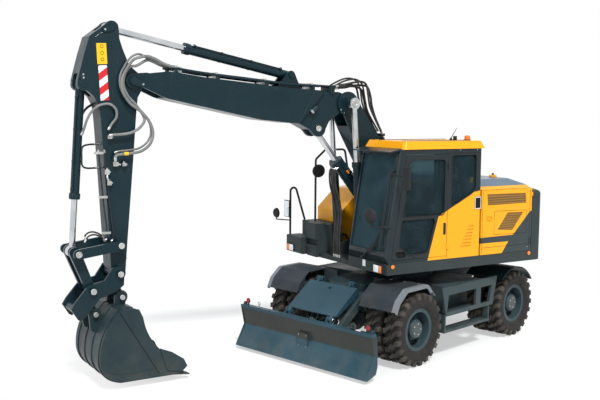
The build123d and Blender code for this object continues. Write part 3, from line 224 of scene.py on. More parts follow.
def paint(name, colour, rough=0.38, dust_top=1.1, dust=0.35, coat=0.08, pattern=None):
    """Weathered paint: faded clouds, dust below dust_top metres, small scuffs and an orange peel.

    pattern is given the nodes, links and coordinates, and returns a colour in place of colour."""
    material, nodes, links, coordinates, output = new_material(name)
    shader = nodes.new("ShaderNodeBsdfPrincipled")
    base = pattern(nodes, links, coordinates) if pattern else colour
    veil = cloud(nodes, links, coordinates, 0.8, 4, 0.35, 0.75, 0.0, 0.008)
    faded = mixed(nodes, links, veil, base, (0.75, 0.8, 0.85))
    height = axes(nodes, links, coordinates)[2]
    near_ground = stretched(nodes, links, height, 0.0, dust_top, dust, 0.015)
    patches = cloud(nodes, links, coordinates, 4.5, 8, 0.30, 0.72)
    dusty = mixed(nodes, links, worked(nodes, links, "MULTIPLY", near_ground, patches), faded, road_dust)
    scuffs = cloud(nodes, links, coordinates, 38, 9, 0.70, 0.80, 0.0, 0.30)
    scuffed = mixed(nodes, links, scuffs, dusty, (0.33, 0.34, 0.35))
    links.new(scuffed, shader.inputs["Base Color"])
    links.new(
        cloud(nodes, links, coordinates, 3.0, 6, 0.3, 0.7, rough - 0.07, rough + 0.12),
        shader.inputs["Roughness"],
    )
    shader.inputs["Specular IOR Level"].default_value = 0.12
    shader.inputs["Coat Weight"].default_value = coat
    shader.inputs["Coat Roughness"].default_value = 0.14
    links.new(grained(nodes, links, coordinates, 240, 2, 0.0003), shader.inputs["Normal"])
    links.new(shader.outputs[0], output.inputs["Surface"])
    return material


def finish(material, *names):
    """Gives CAD nodes their material"""
    for name in names:
        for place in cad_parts[name].material_slots:
            place.material = material


dark_teal = (0.013, 0.030, 0.037)
chassis_paint = paint("chassis paint", dark_teal, dust=0.5)
finish(chassis_paint, "chassis", "fixed_axle", "steer_axle", "knuckle_left", "knuckle_right", "blade_arms")

# Shield round the slewing ring
# A turned steel ring under the deck, with a copper-brown smear of grease and rust on it.


def piece(name, bm, body, slot, *materials, turn=None, smooth=30):
    """A finished mesh that rides on a body and wears the materials given to it; slot is not used"""
    if turn:
        bmesh.ops.transform(bm, matrix=turn, verts=bm.verts)
    bmesh.ops.recalc_face_normals(bm, faces=bm.faces)
    mesh = bpy.data.meshes.new(name)
    bm.to_mesh(mesh)
    bm.free()
    for material in materials:
        mesh.materials.append(material)
    made = bpy.data.objects.new(name, mesh)
    bpy.context.collection.objects.link(made)
    mesh.shade_smooth()
    mesh.set_sharp_from_angle(angle=math.radians(smooth))
    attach(made, body)
    return made


def turned(bm, start, axis, profile, sides=24, slot=0):
    """A round part turned about an axis, from (distance along the axis, radius) pairs"""
    axis = Vector(axis).normalized()
    across = axis.orthogonal().normalized()
    around = axis.cross(across)
    rings = []
    for along, radius in profile:
        centre = Vector(start) + axis * along
        if radius < 1e-6:
            rings.append([bm.verts.new(centre)])
            continue
        ring = []
        for step in range(sides):
            angle = 2 * math.pi * step / sides
            ring.append(
                bm.verts.new(centre + radius * (math.cos(angle) * across + math.sin(angle) * around))
            )
        rings.append(ring)
    for low, high in zip(rings, rings[1:]):
        for step in range(sides):
            after = (step + 1) % sides
            if len(low) == 1 and len(high) == 1:
                continue
            if len(low) == 1:
                corners = [low[0], high[step], high[after]]
            elif len(high) == 1:
                corners = [low[step], high[0], low[after]]
            else:
                corners = [low[step], high[step], high[after], low[after]]
            bm.faces.new(corners).material_index = slot


def capped(length, radius, chamfer=0.003):
    """Profile of a closed round bar with chamfered ends"""
    return [
        (0, 0), (0, radius - chamfer), (chamfer, radius), (length - chamfer, radius),
        (length, radius - chamfer), (length, 0),
    ]


copper = paint("greasy shield", (0.20, 0.095, 0.06), rough=0.55, dust=0.2, coat=0.0)
bm = bmesh.new()
turned(
    bm, (0, 0, 1.152), (0, 0, 1),
    [(0, 0.566), (0, 0.585), (0.020, 0.595), (0.085, 0.595), (0.110, 0.575), (0.110, 0.566), (0, 0.566)],
    64,
)
piece("slewing_shield", bm, "chassis", "grey_paint", copper)

# Tyres
# Bias-ply excavator tyres in pairs: a smooth round sidewall with fitting ribs, and two rows of bars
# that meet in chevrons and run down over the shoulder. Dry black rubber with dust in every hollow.
wheel_stations = {
    # station: (axle x, side)
    "front_left": (1.10, 1),
    "front_right": (1.10, -1),
    "rear_left": (-1.41, 1),
    "rear_right": (-1.41, -1),
}
axle_z = 0.519
tyre_places = (0.780, 1.110)
bars_a_row = 22
bar_circle = 0.5


def rubber(name, colour, dusty, amount):
    """Rubber with dust lying in clouds, and a fine pitted skin"""
    material, nodes, links, coordinates, output = new_material(name)
    shader = nodes.new("ShaderNodeBsdfPrincipled")
    dust_patches = cloud(nodes, links, coordinates, 7.0, 9, 0.32, 0.66, 0.12 * amount, amount)
    links.new(mixed(nodes, links, dust_patches, colour, dusty), shader.inputs["Base Color"])
    links.new(cloud(nodes, links, coordinates, 20, 5, 0.3, 0.7, 0.60, 0.88), shader.inputs["Roughness"])
    shader.inputs["Specular IOR Level"].default_value = 0.25
    links.new(grained(nodes, links, coordinates, 150, 6, 0.0010), shader.inputs["Normal"])
    links.new(shader.outputs[0], output.inputs["Surface"])
    return material


sidewall_rubber = rubber("sidewall rubber", (0.013, 0.012, 0.012), (0.060, 0.052, 0.042), 0.25)
bar_rubber = rubber("tread bar rubber", (0.018, 0.017, 0.016), (0.120, 0.105, 0.085), 0.50)

bar_stations = (
    # out from the tyre's middle, along the tread, half width at the top, half width at the foot, top, foot
    (0.003, -0.052, 0.031, 0.040, 0.5165, 0.474),
    (0.040, -0.014, 0.031, 0.040, 0.5170, 0.474),
    (0.078, 0.026, 0.031, 0.040, 0.5165, 0.474),
    (0.124, 0.034, 0.034, 0.042, 0.5150, 0.468),
    (0.1362, 0.035, 0.030, 0.038, 0.4980, 0.448),
    (0.1366, 0.035, 0.022, 0.030, 0.4640, 0.430),
)
carcass = (
    # radius, out from the tyre's middle
    (0.3003, 0.100), (0.312, 0.110), (0.330, 0.1225), (0.338, 0.1270), (0.342, 0.1245), (0.352, 0.1290),
    (0.375, 0.1345), (0.400, 0.1362), (0.406, 0.1372), (0.412, 0.1360), (0.440, 0.1335), (0.458, 0.1300),
    (0.474, 0.1200), (0.480, 0.1000), (0.482, 0.0400), (0.482, 0.0),
)

bm = bmesh.new()
for row in (1, -1):
    rings = []
    for out, along, half_top, half_foot, top, foot in bar_stations:
        ring = []
        for level, shift in ((foot, -half_foot), (top, -half_top), (top, half_top), (foot, half_foot)):
            angle = row * (along + shift) / bar_circle
            spot = (level * math.cos(angle) - bar_circle, row * out, level * math.sin(angle))
            ring.append(bm.verts.new(spot))
        rings.append(ring)
    for low, high in zip(rings, rings[1:]):
        for side in range(4):
            after = (side + 1) % 4
            bm.faces.new((low[side], high[side], high[after], low[after]))
    bm.faces.new(rings[0])
    bm.faces.new(rings[-1][::-1])
    if row < 0:
        out_of_axle, to_axle = [Matrix.Translation((x, 0, 0)) for x in (-bar_circle, bar_circle)]
        half_a_bar = Matrix.Rotation(math.pi / bars_a_row, 4, "Y")
        far = [corner for ring in rings for corner in ring]
        bmesh.ops.transform(bm, matrix=out_of_axle @ half_a_bar @ to_axle, verts=far)
bmesh.ops.recalc_face_normals(bm, faces=bm.faces)
bmesh.ops.bevel(
    bm, geom=[edge for edge in bm.edges if edge.calc_face_angle(0) > 0.6], offset=0.004, segments=1,
    affect="EDGES",
)
bar_mesh = bpy.data.meshes.new("chevron bars")
bm.to_mesh(bar_mesh)
bm.free()
chevron = bpy.data.objects.new("chevron bars", bar_mesh)
bpy.context.collection.objects.link(chevron)


def new_tree(name, taken, inputs, made):
    """A tree with named inputs: itself, its nodes and links, the given values, the inputs' identifiers"""
    tree = bpy.data.node_groups.new(name, "GeometryNodeTree")
    tree.interface.new_socket(taken, in_out="INPUT", socket_type="NodeSocketGeometry")
    identifiers = [
        tree.interface.new_socket(label, in_out="INPUT", socket_type="NodeSocket" + kind).identifier
        for label, kind in inputs.items()
    ]
    tree.interface.new_socket(made, in_out="OUTPUT", socket_type="NodeSocketGeometry")
    return tree, tree.nodes, tree.links, tree.nodes.new("NodeGroupInput"), identifiers


def end_tree(nodes, links, instances, material):
    """Makes a tree's instances real, gives them their material and sends them out"""
    real = nodes.new("GeometryNodeRealizeInstances")
    links.new(instances, real.inputs[0])
    dressed = nodes.new("GeometryNodeSetMaterial")
    links.new(real.outputs[0], dressed.inputs["Geometry"])
    links.new(material, dressed.inputs["Material"])
    links.new(dressed.outputs[0], nodes.new("NodeGroupOutput").inputs[0])


# The tread: one pair of bars repeated round every tyre of a wheel
tread, nodes, links, given, (bars_around, tread_radius, bar_pair, bar_finish) = new_tree(
    "tread bars", "Tyres",
    {"Bars in a row": "Int", "Radius": "Float", "Pair of bars": "Object", "Rubber": "Material"}, "Tread",
)
circle = nodes.new("GeometryNodeMeshCircle")
links.new(given.outputs["Bars in a row"], circle.inputs["Vertices"])
links.new(given.outputs["Radius"], circle.inputs["Radius"])
upright = nodes.new("GeometryNodeTransform")
upright.inputs["Rotation"].default_value = (math.pi / 2, 0, 0)
links.new(circle.outputs["Mesh"], upright.inputs["Geometry"])
place = nodes.new("GeometryNodeInputPosition")
facing = nodes.new("FunctionNodeAlignRotationToVector")
facing.axis = "X"
facing.pivot_axis = "Y"
links.new(place.outputs[0], facing.inputs["Vector"])
bars = nodes.new("GeometryNodeObjectInfo")
links.new(given.outputs["Pair of bars"], bars.inputs["Object"])
set_round = nodes.new("GeometryNodeInstanceOnPoints")
links.new(upright.outputs[0], set_round.inputs["Points"])
links.new(bars.outputs["Geometry"], set_round.inputs["Instance"])
links.new(facing.outputs[0], set_round.inputs["Rotation"])
on_each = nodes.new("GeometryNodeInstanceOnPoints")
links.new(given.outputs["Tyres"], on_each.inputs["Points"])
links.new(set_round.outputs["Instances"], on_each.inputs["Instance"])
end_tree(nodes, links, on_each.outputs["Instances"], given.outputs["Rubber"])


def grown(name, points, tree, inputs, edges=()):
    """Points, joined by edges or loose, with a tree on them, turned into a plain mesh"""
    seed = bpy.data.meshes.new(name)
    seed.from_pydata([tuple(point) for point in points], edges, [])
    made = bpy.data.objects.new(name, seed)
    bpy.context.collection.objects.link(made)
    modifier = made.modifiers.new("tree", "NODES")
    modifier.node_group = tree
    for socket, value in inputs.items():
        modifier[socket] = value
    shaped = bpy.data.meshes.new_from_object(made.evaluated_get(bpy.context.evaluated_depsgraph_get()))
    made.modifiers.clear()
    made.data = shaped
    return made


for station, (axle_x, side) in wheel_stations.items():
    middles = [(axle_x, side * place, axle_z) for place in tyre_places]
    bars_round = grown(
        f"tread_{station}", middles, tread,
        {bars_around: bars_a_row, tread_radius: bar_circle, bar_pair: chevron, bar_finish: bar_rubber},
    )
    bars_round.data.shade_smooth()
    bars_round.data.set_sharp_from_angle(angle=math.radians(30))
    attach(bars_round, f"wheel_{station}")
    bm = bmesh.new()
    for place in tyre_places:
        half = [(out, radius_there) for radius_there, out in carcass]
        profile = [(-out, at) for out, at in half] + [(out, at) for out, at in reversed(half[:-1])]
        profile += [(0.085, 0.288), (-0.085, 0.288), profile[0]]
        turned(bm, (axle_x, side * place, axle_z), (0, 1, 0), profile, 88)
    bmesh.ops.remove_doubles(bm, verts=bm.verts, dist=1e-5)
    tyres = piece(f"carcass_{station}", bm, f"wheel_{station}", "tyre", sidewall_rubber, smooth=35)
    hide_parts(f"tyres_{station}")
bpy.data.objects.remove(chevron)

# Rims and wheel ends
# Pressed steel rims in dark grey-green on a cast planetary hub, with plated nuts and cover screws.
rim_paint = paint("rim paint", (0.022, 0.048, 0.058), rough=0.32, dust_top=1.3, dust=0.22, coat=0.15)
hub_paint = paint("hub paint", (0.052, 0.070, 0.074), rough=0.5, dust_top=1.3, dust=0.35, coat=0.0)
finish(rim_paint, *[f"rims_{station}" for station in wheel_stations])


def bare_metal(name, light, dark, rough):
    """Plated or ground steel with an oily film"""
    material, nodes, links, coordinates, output = new_material(name)
    shader = nodes.new("ShaderNodeBsdfPrincipled")
    shader.inputs["Metallic"].default_value = 1.0
    oil = cloud(nodes, links, coordinates, 5.0, 5, 0.35, 0.7)
    links.new(mixed(nodes, links, oil, light, dark), shader.inputs["Base Color"])
    links.new(
        cloud(nodes, links, coordinates, 30, 5, 0.3, 0.7, rough - 0.05, rough + 0.10),
        shader.inputs["Roughness"],
    )
    links.new(grained(nodes, links, coordinates, 400, 3, 0.0001), shader.inputs["Normal"])
    links.new(shader.outputs[0], output.inputs["Surface"])
    return material


plated = bare_metal("zinc plated steel", (0.62, 0.63, 0.62), (0.42, 0.43, 0.42), 0.32)

# A bolt tree: a hexagon head on a washer, standing on every point and facing along its own direction
bolts, nodes, links, given, (across_flats, bolt_facing, bolt_finish) = new_tree(
    "bolts", "Places", {"Across flats": "Float", "Facing": "Vector", "Finish": "Material"}, "Bolts",
)
head = nodes.new("GeometryNodeMeshCylinder")
head.inputs["Vertices"].default_value = 6
washer = nodes.new("GeometryNodeMeshCylinder")
washer.inputs["Vertices"].default_value = 16
for part, across, deep in ((head, 0.577, 0.75), (washer, 0.66, 0.25)):
    for measure, share in (("Radius", across), ("Depth", deep)):
        size = worked(nodes, links, "MULTIPLY", given.outputs["Across flats"], share)
        links.new(size, part.inputs[measure])
both = nodes.new("GeometryNodeJoinGeometry")
links.new(head.outputs["Mesh"], both.inputs[0])
links.new(washer.outputs["Mesh"], both.inputs[0])
facing = nodes.new("FunctionNodeAlignRotationToVector")
facing.axis = "Z"
links.new(given.outputs["Facing"], facing.inputs["Vector"])
set_round = nodes.new("GeometryNodeInstanceOnPoints")
links.new(given.outputs["Places"], set_round.inputs["Points"])
links.new(both.outputs[0], set_round.inputs["Instance"])
links.new(facing.outputs[0], set_round.inputs["Rotation"])
end_tree(nodes, links, set_round.outputs["Instances"], given.outputs["Finish"])


def bolted(name, points, facing, across, body):
    """Hexagon bolts on points of one body, all facing the same way"""
    made = grown(name, points, bolts, {across_flats: across, bolt_facing: facing, bolt_finish: plated})
    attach(made, body)


for station, (axle_x, side) in wheel_stations.items():
    face = side * 1.185
    for screws, reach, across, y, count, first in (
        ("cover_screws", 0.078, 0.019, face, 5, 0.5), ("wheel_nuts", 0.172, 0.030, side * 1.0405, 10, 0),
    ):
        angles = [2 * math.pi * (step + first) / count for step in range(count)]
        points = [
            (axle_x + reach * math.cos(angle), y, axle_z + reach * math.sin(angle)) for angle in angles
        ]
        bolted(f"{screws}_{station}", points, (0, side, 0), across, f"wheel_{station}")
    bm = bmesh.new()
    turned(
        bm, (axle_x, face - side * 0.0005, axle_z), (0, side, 0),
        [(0, 0), (0, 0.108), (0.004, 0.112), (0.0065, 0.108), (0.0065, 0.040), (0.011, 0.034), (0.011, 0)],
        40,
    )
    turned(
        bm, (axle_x, side * 1.2055, axle_z), (0, side, 0),
        [(0, 0.286), (0.003, 0.296), (0.006, 0.302), (0.009, 0.297), (0.006, 0.286), (0, 0.286)], 64,
        slot=1,
    )
    piece(f"hub_cover_{station}", bm, f"wheel_{station}", "grey_paint", hub_paint, rim_paint)

# Fenders
# Moulded dark plastic; its rounded outer edge is painted paler, a painted highlight where the edge mirrors
# the sky.
# Painted steel brackets carry it from the chassis.


def fender_painted_highlight(nodes, links, coordinates):
    """Painted highlight: paler towards the rounded outer edge of both fenders"""
    side = worked(nodes, links, "ABSOLUTE", axes(nodes, links, coordinates)[1], 0)
    # painted highlight along the outer edge, where the rounded plastic mirrors the sky
    edge = stretched(nodes, links, side, 1.172, 1.180)
    return mixed(nodes, links, edge, (0.020, 0.028, 0.037), (0.165, 0.18, 0.20))


fender_plastic = paint(
    "fender plastic", (0.024, 0.032, 0.041), rough=0.5, dust_top=1.6, dust=0.25, coat=0.0,
    pattern=fender_painted_highlight,
)
finish(fender_plastic, "front_fenders")
fender_screws = [
    (x, side * y, 1.1475) for side in (1, -1) for x in (1.015, 1.045) for y in (0.66, 0.90, 1.14)
]
bolted("fender_screws", fender_screws, (0, 0, 1), 0.013, "chassis")
bm = bmesh.new()


def block(bm, low, high, round_off=0.004, slot=0):
    """A block with rounded edges"""
    made_before = set(bm.faces)
    middle = [(a + b) / 2 for a, b in zip(low, high)]
    size = [abs(b - a) for a, b in zip(low, high)]
    made = bmesh.ops.create_cube(
        bm, size=1, matrix=Matrix.Translation(middle) @ Matrix.Diagonal((*size, 1)),
    )
    edges = list({edge for vertex in made["verts"] for edge in vertex.link_edges})
    bmesh.ops.bevel(bm, geom=edges, offset=round_off, segments=2, affect="EDGES", profile=0.6)
    for face in bm.faces:
        if face not in made_before:
            face.material_index = slot


for side in (1, -1):
    for y in (0.70, 1.04):
        block(bm, (1.005, side * y - 0.02, 1.1412), (1.055, side * y + 0.02, 1.1462), 0.0015)
piece("fender_straps", bm, "chassis", "grey_paint", chassis_paint)

# Steps
# Plates with anti-slip teeth punched along their upper edges, in the chassis colour a shade lighter.
step_paint = paint("step paint", (0.026, 0.046, 0.051), rough=0.42, dust_top=1.2, dust=0.3, coat=0.1)
finish(step_paint, "step_boxes")

teeth, nodes, links, given, (tooth_pitch, tooth_size, tooth_finish) = new_tree(
    "anti-slip teeth", "Ends", {"Pitch": "Float", "Tooth": "Vector", "Finish": "Material"}, "Teeth",
)
line = nodes.new("GeometryNodeMeshToCurve")
links.new(given.outputs["Ends"], line.inputs[0])
spaced = nodes.new("GeometryNodeCurveToPoints")
spaced.mode = "LENGTH"
links.new(line.outputs[0], spaced.inputs["Curve"])
links.new(given.outputs["Pitch"], spaced.inputs["Length"])
tooth = nodes.new("GeometryNodeMeshCube")
links.new(given.outputs["Tooth"], tooth.inputs["Size"])
set_round = nodes.new("GeometryNodeInstanceOnPoints")
links.new(spaced.outputs["Points"], set_round.inputs["Points"])
links.new(tooth.outputs["Mesh"], set_round.inputs["Instance"])
set_round.inputs["Rotation"].default_value = (0, math.radians(45), 0)
end_tree(nodes, links, set_round.outputs["Instances"], given.outputs["Finish"])

tooth_rows = []
for side in (1, -1):
    for first_x, last_x, y, z in (
        (-0.835, 0.590, 1.236, 1.037), (-0.835, 0.590, 1.212, 1.037), (-0.640, 0.520, 1.236, 0.4095),
        (-0.640, 0.520, 1.090, 0.4095), (0.430, -0.270, 1.234, 0.6690),
    ):
        tooth_rows += [(first_x, side * y, z), (last_x, side * y, z)]
step_teeth = grown(
    "step_teeth", tooth_rows, teeth,
    {tooth_pitch: 0.034, tooth_size: (0.015, 0.006, 0.015), tooth_finish: step_paint},
    [(end, end + 1) for end in range(0, len(tooth_rows), 2)],
)
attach(step_teeth, "chassis")

# Dozer blade and its cover plate
# Rolled mouldboard in painted light: grey on the down-facing upper band, blue-green below as a painted
# reflection of the sky.
# Red reflectors, a plated lifting eye and a blank plate stand along the top rim.


def blade_painted_light(nodes, links, coordinates):
    """Painted light: grey above the fold of the mouldboard, where it faces down, and blue-green below it
    and on the cover plate as a painted reflection of the sky
    """
    x, _, z = axes(nodes, links, coordinates)
    above = worked(nodes, links, "GREATER_THAN", z, 0.352)
    below_rim = worked(nodes, links, "LESS_THAN", z, 0.604)
    ahead = worked(nodes, links, "GREATER_THAN", x, 2.09)
    # grey band where the mouldboard faces down: painted light, from how the light falls on it
    band = worked(nodes, links, "MULTIPLY", worked(nodes, links, "MULTIPLY", above, below_rim), ahead)
    # blue-green below the fold and on the cover plate: a painted reflection of the sky, in blotches
    painted_sky_blotches = cloud(nodes, links, coordinates, 1.6, 3, 0.3, 0.7)
    lower = mixed(nodes, links, painted_sky_blotches, (0.012, 0.042, 0.060), (0.022, 0.062, 0.086))
    return mixed(nodes, links, band, lower, (0.028, 0.031, 0.028))


blade_paint = paint(
    "blade paint", (0.03, 0.07, 0.09), rough=0.38, dust_top=0.5, dust=0.25, coat=0.15, pattern=blade_painted_light,
)
finish(blade_paint, "blade", "blade_links")
red_lens = paint("red reflector", (0.30, 0.018, 0.018), rough=0.25, dust=0.1, coat=0.3)
blank_white = paint("blank white plate", (0.78, 0.80, 0.80), rough=0.45, dust=0.1, coat=0.1)
bm = bmesh.new()
for y in (1.165, -1.165):
    block(bm, (2.128, y - 0.016, 0.650), (2.136, y + 0.016, 0.690), 0.001)
    turned(bm, (2.128, y, 0.712), (1, 0, 0), capped(0.010, 0.042, 0.002), 28)
    turned(bm, (2.1375, y, 0.712), (1, 0, 0), capped(0.007, 0.034, 0.003), 28, slot=1)
block(bm, (2.118, 0.885, 0.6522), (2.160, 1.035, 0.6545), 0.0008, slot=2)
block(bm, (2.110, -0.96, 0.6522), (2.160, -0.90, 0.6560), 0.0008, slot=3)
turned(bm, (2.134, -0.93, 0.652), (0, 0, 1), [(0, 0), (0, 0.011), (0.040, 0.009), (0.040, 0)], 16, slot=3)
eye_radius, eye_bar, eye_parts = 0.022, 0.006, 24
for step in range(eye_parts):
    here, ahead = [
        Vector((2.134, -0.93 + eye_radius * math.cos(angle), 0.705 + eye_radius * math.sin(angle)))
        for angle in (2 * math.pi * step / eye_parts, 2 * math.pi * (step + 1.1) / eye_parts)
    ]
    reach = (ahead - here).length
    turned(bm, here, ahead - here, [(0, 0), (0, eye_bar), (reach, eye_bar), (reach, 0)], 10, slot=3)
piece("blade_rim_fittings", bm, "blade", "blade_paint", chassis_paint, red_lens, blank_white, plated)
bm = bmesh.new()
# Tie-down hook behind the left end of the rim, a flame-cut ring of plate
turned(
    bm, (2.150, 0.925, 0.700), (1, 0, 0),
    [(0, 0.020), (0, 0.046), (0.004, 0.050), (0.014, 0.050), (0.018, 0.046), (0.018, 0.020), (0, 0.020)],
    32,
)
block(bm, (2.150, 0.885, 0.648), (2.168, 0.965, 0.672), 0.003)
# Bevelled collar behind the tow plate
block(bm, (2.100, -0.118, 0.212), (2.128, 0.118, 0.460), 0.006)
piece("blade_hook", bm, "blade", "grey_paint", chassis_paint)
bolted(
    "tow_plate_screws",
    [(2.1765, y, z) for y in (-0.072, 0.072) for z in (0.258, 0.414)],
    (1, 0, 0), 0.010, "blade",
)
bm = bmesh.new()
cover_run = Vector((0.55, 0, -0.405)).normalized()
cover_rise = Vector((0.405, 0, 0.55)).normalized()
cover_pin = Vector((1.480, 0, 1.080))
# A thin disc on the cover plate, painted near black as the painted shade inside a hole
turned(
    bm, cover_pin + cover_run * 0.15 + cover_rise * 0.0172, cover_rise,
    [(0, 0), (0, 0.021), (0.0012, 0.021), (0.0012, 0)], 24,
)
hole_shade_paint = paint("dark hole", (0.004, 0.004, 0.004), rough=0.9, dust=0.0, coat=0.0)
piece("cover_hole", bm, "blade_links", "grey_paint", hole_shade_paint)
bm = bmesh.new()
for y in (-0.36, 0.24):
    turned(bm, cover_pin + Vector((0, y, 0)), (0, 1, 0), capped(0.12, 0.046, 0.006), 28)
for y in (-0.46, 0.40):
    toe = Vector((2.030, y, 0.675))
    turned(bm, toe, (0, 1, 0), capped(0.06, 0.028, 0.004), 24, slot=1)
piece("cover_hinge_eyes", bm, "blade_links", "grey_paint", blade_paint, plated)

# Deck skirts and counterweight
# Dark grey textured paint on the skirts; the counterweight is a casting in the same grey.
# The upper machine stands turned 14.5 degrees on its ring.
parked = Matrix.Rotation(math.radians(-14.5), 4, "Z")


def upper_axes(nodes, links, coordinates):
    """X, Y and Z sockets in the turned upper machine's own axes"""
    straight = nodes.new("ShaderNodeMapping")
    straight.inputs["Rotation"].default_value = (0, 0, math.radians(14.5))
    links.new(coordinates, straight.inputs["Vector"])
    return axes(nodes, links, straight.outputs[0])


def within(nodes, links, x, z, corners):
    """1 inside a convex outline whose corners are (x, z) pairs, otherwise 0"""
    middle_x = sum(corner[0] for corner in corners) / len(corners)
    middle_z = sum(corner[1] for corner in corners) / len(corners)
    flat = nodes.new("ShaderNodeCombineXYZ")
    links.new(x, flat.inputs[0])
    links.new(z, flat.inputs[1])
    flat.inputs[2].default_value = 1.0
    total = None
    for (x1, z1), (x2, z2) in zip(corners, corners[1:] + corners[:1]):
        across_x, across_z = z1 - z2, x2 - x1
        offset = -(across_x * x1 + across_z * z1)
        if across_x * middle_x + across_z * middle_z + offset < 0:
            across_x, across_z, offset = -across_x, -across_z, -offset
        side = nodes.new("ShaderNodeVectorMath")
        side.operation = "DOT_PRODUCT"
        links.new(flat.outputs[0], side.inputs[0])
        side.inputs[1].default_value = (across_x, across_z, offset)
        test = worked(nodes, links, "GREATER_THAN", side.outputs["Value"], 0.0)
        total = test if total is None else worked(nodes, links, "MULTIPLY", total, test)
    return total


skirt_paint = paint("skirt paint", (0.030, 0.040, 0.041), rough=0.50, dust_top=1.6, dust=0.25, coat=0.0)
finish(skirt_paint, "upper_frame", "counterweight", "right_deck")
engine_iron = paint("cast iron", (0.10, 0.10, 0.105), rough=0.55, dust=0.1, coat=0.0)
finish(engine_iron, "engine")


def on_upper(name, points, facing, across, body="upper"):
    """Bolts placed in the turned machine's own axes"""
    placed = [parked @ Vector(point) for point in points]
    bolted(name, placed, parked.to_3x3() @ Vector(facing), across, body)


on_upper(
    "bracket_bolts", [(x, 0.136, z) for x, z in ((-0.30, 1.50), (0.05, 1.80), (0.25, 1.62), (0.55, 1.50))],
    (0, 1, 0), 0.024,
)
on_upper("weight_bolts", [(-1.62, y, 2.3605) for y in (-0.9, -0.3, 0.3, 0.9)], (0, 0, 1), 0.046)
bm = bmesh.new()
block(bm, (1.1702, 0.655, 1.338), (1.1722, 0.728, 1.432), 0.0006)
piece("front_plate", bm, "upper", "trim", blank_white, turn=parked)

# Hood and engine doors
# Pressed panels in warm yellow with dark grey bands, a dark blue lid painted lighter and bluer as a painted
# reflection of the sky, and brown mesh in the grilles with painted shade in its holes.
warm_yellow = (0.84, 0.355, 0.004)
panel_grey = (0.026, 0.038, 0.042)


def door_bands(nodes, links, coordinates):
    """Yellow panel, a dark wedge and stripe on the left door, brown mesh inside the grille openings with
    its holes painted dark as painted shade
    """
    x, y, z = upper_axes(nodes, links, coordinates)
    left = worked(nodes, links, "GREATER_THAN", y, 0.0)
    wedge_low = within(nodes, links, x, z, [(-1.70, 1.40), (-0.935, 1.40), (-1.10, 1.62), (-1.70, 1.90)])
    wedge_high = within(nodes, links, x, z, [(-1.70, 1.62), (-1.10, 1.62), (-1.531, 2.05), (-1.70, 2.05)])
    stripe = within(nodes, links, x, z, [(-1.2, 1.705), (-0.485, 1.697), (-0.435, 1.612), (-1.09, 1.61)])
    dark = worked(nodes, links, "MAXIMUM", worked(nodes, links, "MAXIMUM", wedge_low, wedge_high), stripe)
    panel = mixed(nodes, links, worked(nodes, links, "MULTIPLY", dark, left), warm_yellow, panel_grey)
    upper_opening = within(
        nodes, links, x, z, [(-0.640, 2.340), (-1.425, 2.330), (-1.446, 2.180), (-0.660, 2.172)],
    )
    lower_opening = within(
        nodes, links, x, z, [(-1.060, 2.048), (-1.385, 2.042), (-1.174, 1.778), (-0.862, 1.796)],
    )
    opening = worked(nodes, links, "MAXIMUM", upper_opening, lower_opening)
    holes = nodes.new("ShaderNodeTexVoronoi")
    holes.inputs["Scale"].default_value = 110
    holes.inputs["Randomness"].default_value = 0.0
    links.new(coordinates, holes.inputs["Vector"])
    # the holes in the mesh are painted near black: painted shade of the space behind the grille
    painted_shade_hole = worked(nodes, links, "LESS_THAN", holes.outputs["Distance"], 0.33)
    mesh_and_painted_shade = mixed(nodes, links, painted_shade_hole, (0.36, 0.19, 0.035), (0.05, 0.032, 0.015))
    return mixed(nodes, links, opening, panel, mesh_and_painted_shade)


door_paint = paint(
    "engine door paint", warm_yellow, rough=0.30, dust_top=2.0, dust=0.10, coat=0.35, pattern=door_bands,
)
finish(door_paint, "engine_door_left", "engine_door_right")


def hood_bands_and_painted_sky(nodes, links, coordinates):
    """Yellow lip under a dark blue lid, made lighter and bluer as a painted reflection of the sky"""
    # the lid's dark blue paint is made lighter and bluer here: a painted reflection of the sky
    lid_with_painted_sky = worked(nodes, links, "GREATER_THAN", axes(nodes, links, coordinates)[2], 2.447)
    return mixed(nodes, links, lid_with_painted_sky, warm_yellow, (0.036, 0.095, 0.155))


hood_paint = paint("hood paint", warm_yellow, rough=0.30, dust=0.02, coat=0.35, pattern=hood_bands_and_painted_sky)
finish(hood_paint, "hood")
on_upper(
    "hood_screws", [(x, y, 2.4525) for x in (-1.48, -1.05, -0.62) for y in (1.150, -1.150)], (0, 0.35, 1),
    0.013, "hood",
)
trim_plastic = paint("trim plastic", (0.020, 0.021, 0.023), rough=0.55, dust=0.1, coat=0.0)
yellow_paint = paint("cap paint", warm_yellow, rough=0.3, dust=0.05, coat=0.3)
bm = bmesh.new()
turned(
    bm, (-1.40, 0.55, 2.522), (0, 0, 1),
    [(0, 0), (0, 0.062), (0.028, 0.060), (0.036, 0.050), (0.036, 0.020), (0.036, 0)], 32,
)
turned(
    bm, (-1.40, 0.55, 2.556), (0, 0, 1), [(0, 0), (0, 0.019), (0.024, 0.017), (0.030, 0.010), (0.030, 0)],
    20, slot=1,
)
piece("intake_cap", bm, "hood", "yellow_paint", yellow_paint, trim_plastic, turn=parked)

# Seams and screws of the engine doors
# The service flap round the slanted grille shows only as a seam. Four plated screws hold each panel.


def strip(bm, points, width, outward, depth, slot=0):
    """A flat strip that joins points in turn; it stands depth out along outward"""
    outward = Vector(outward).normalized()
    for first, second in zip(points, points[1:]):
        first, second = Vector(first), Vector(second)
        across = outward.cross(second - first).normalized() * width / 2
        low = [first - across, first + across, second + across, second - across]
        corners = [bm.verts.new(corner - outward * 0.0005) for corner in low]
        corners += [bm.verts.new(corner + outward * depth) for corner in low]
        for face in ((0, 1, 2, 3), (7, 6, 5, 4), (0, 4, 5, 1), (1, 5, 6, 2), (2, 6, 7, 3), (3, 7, 4, 0)):
            bm.faces.new([corners[corner] for corner in face]).material_index = slot
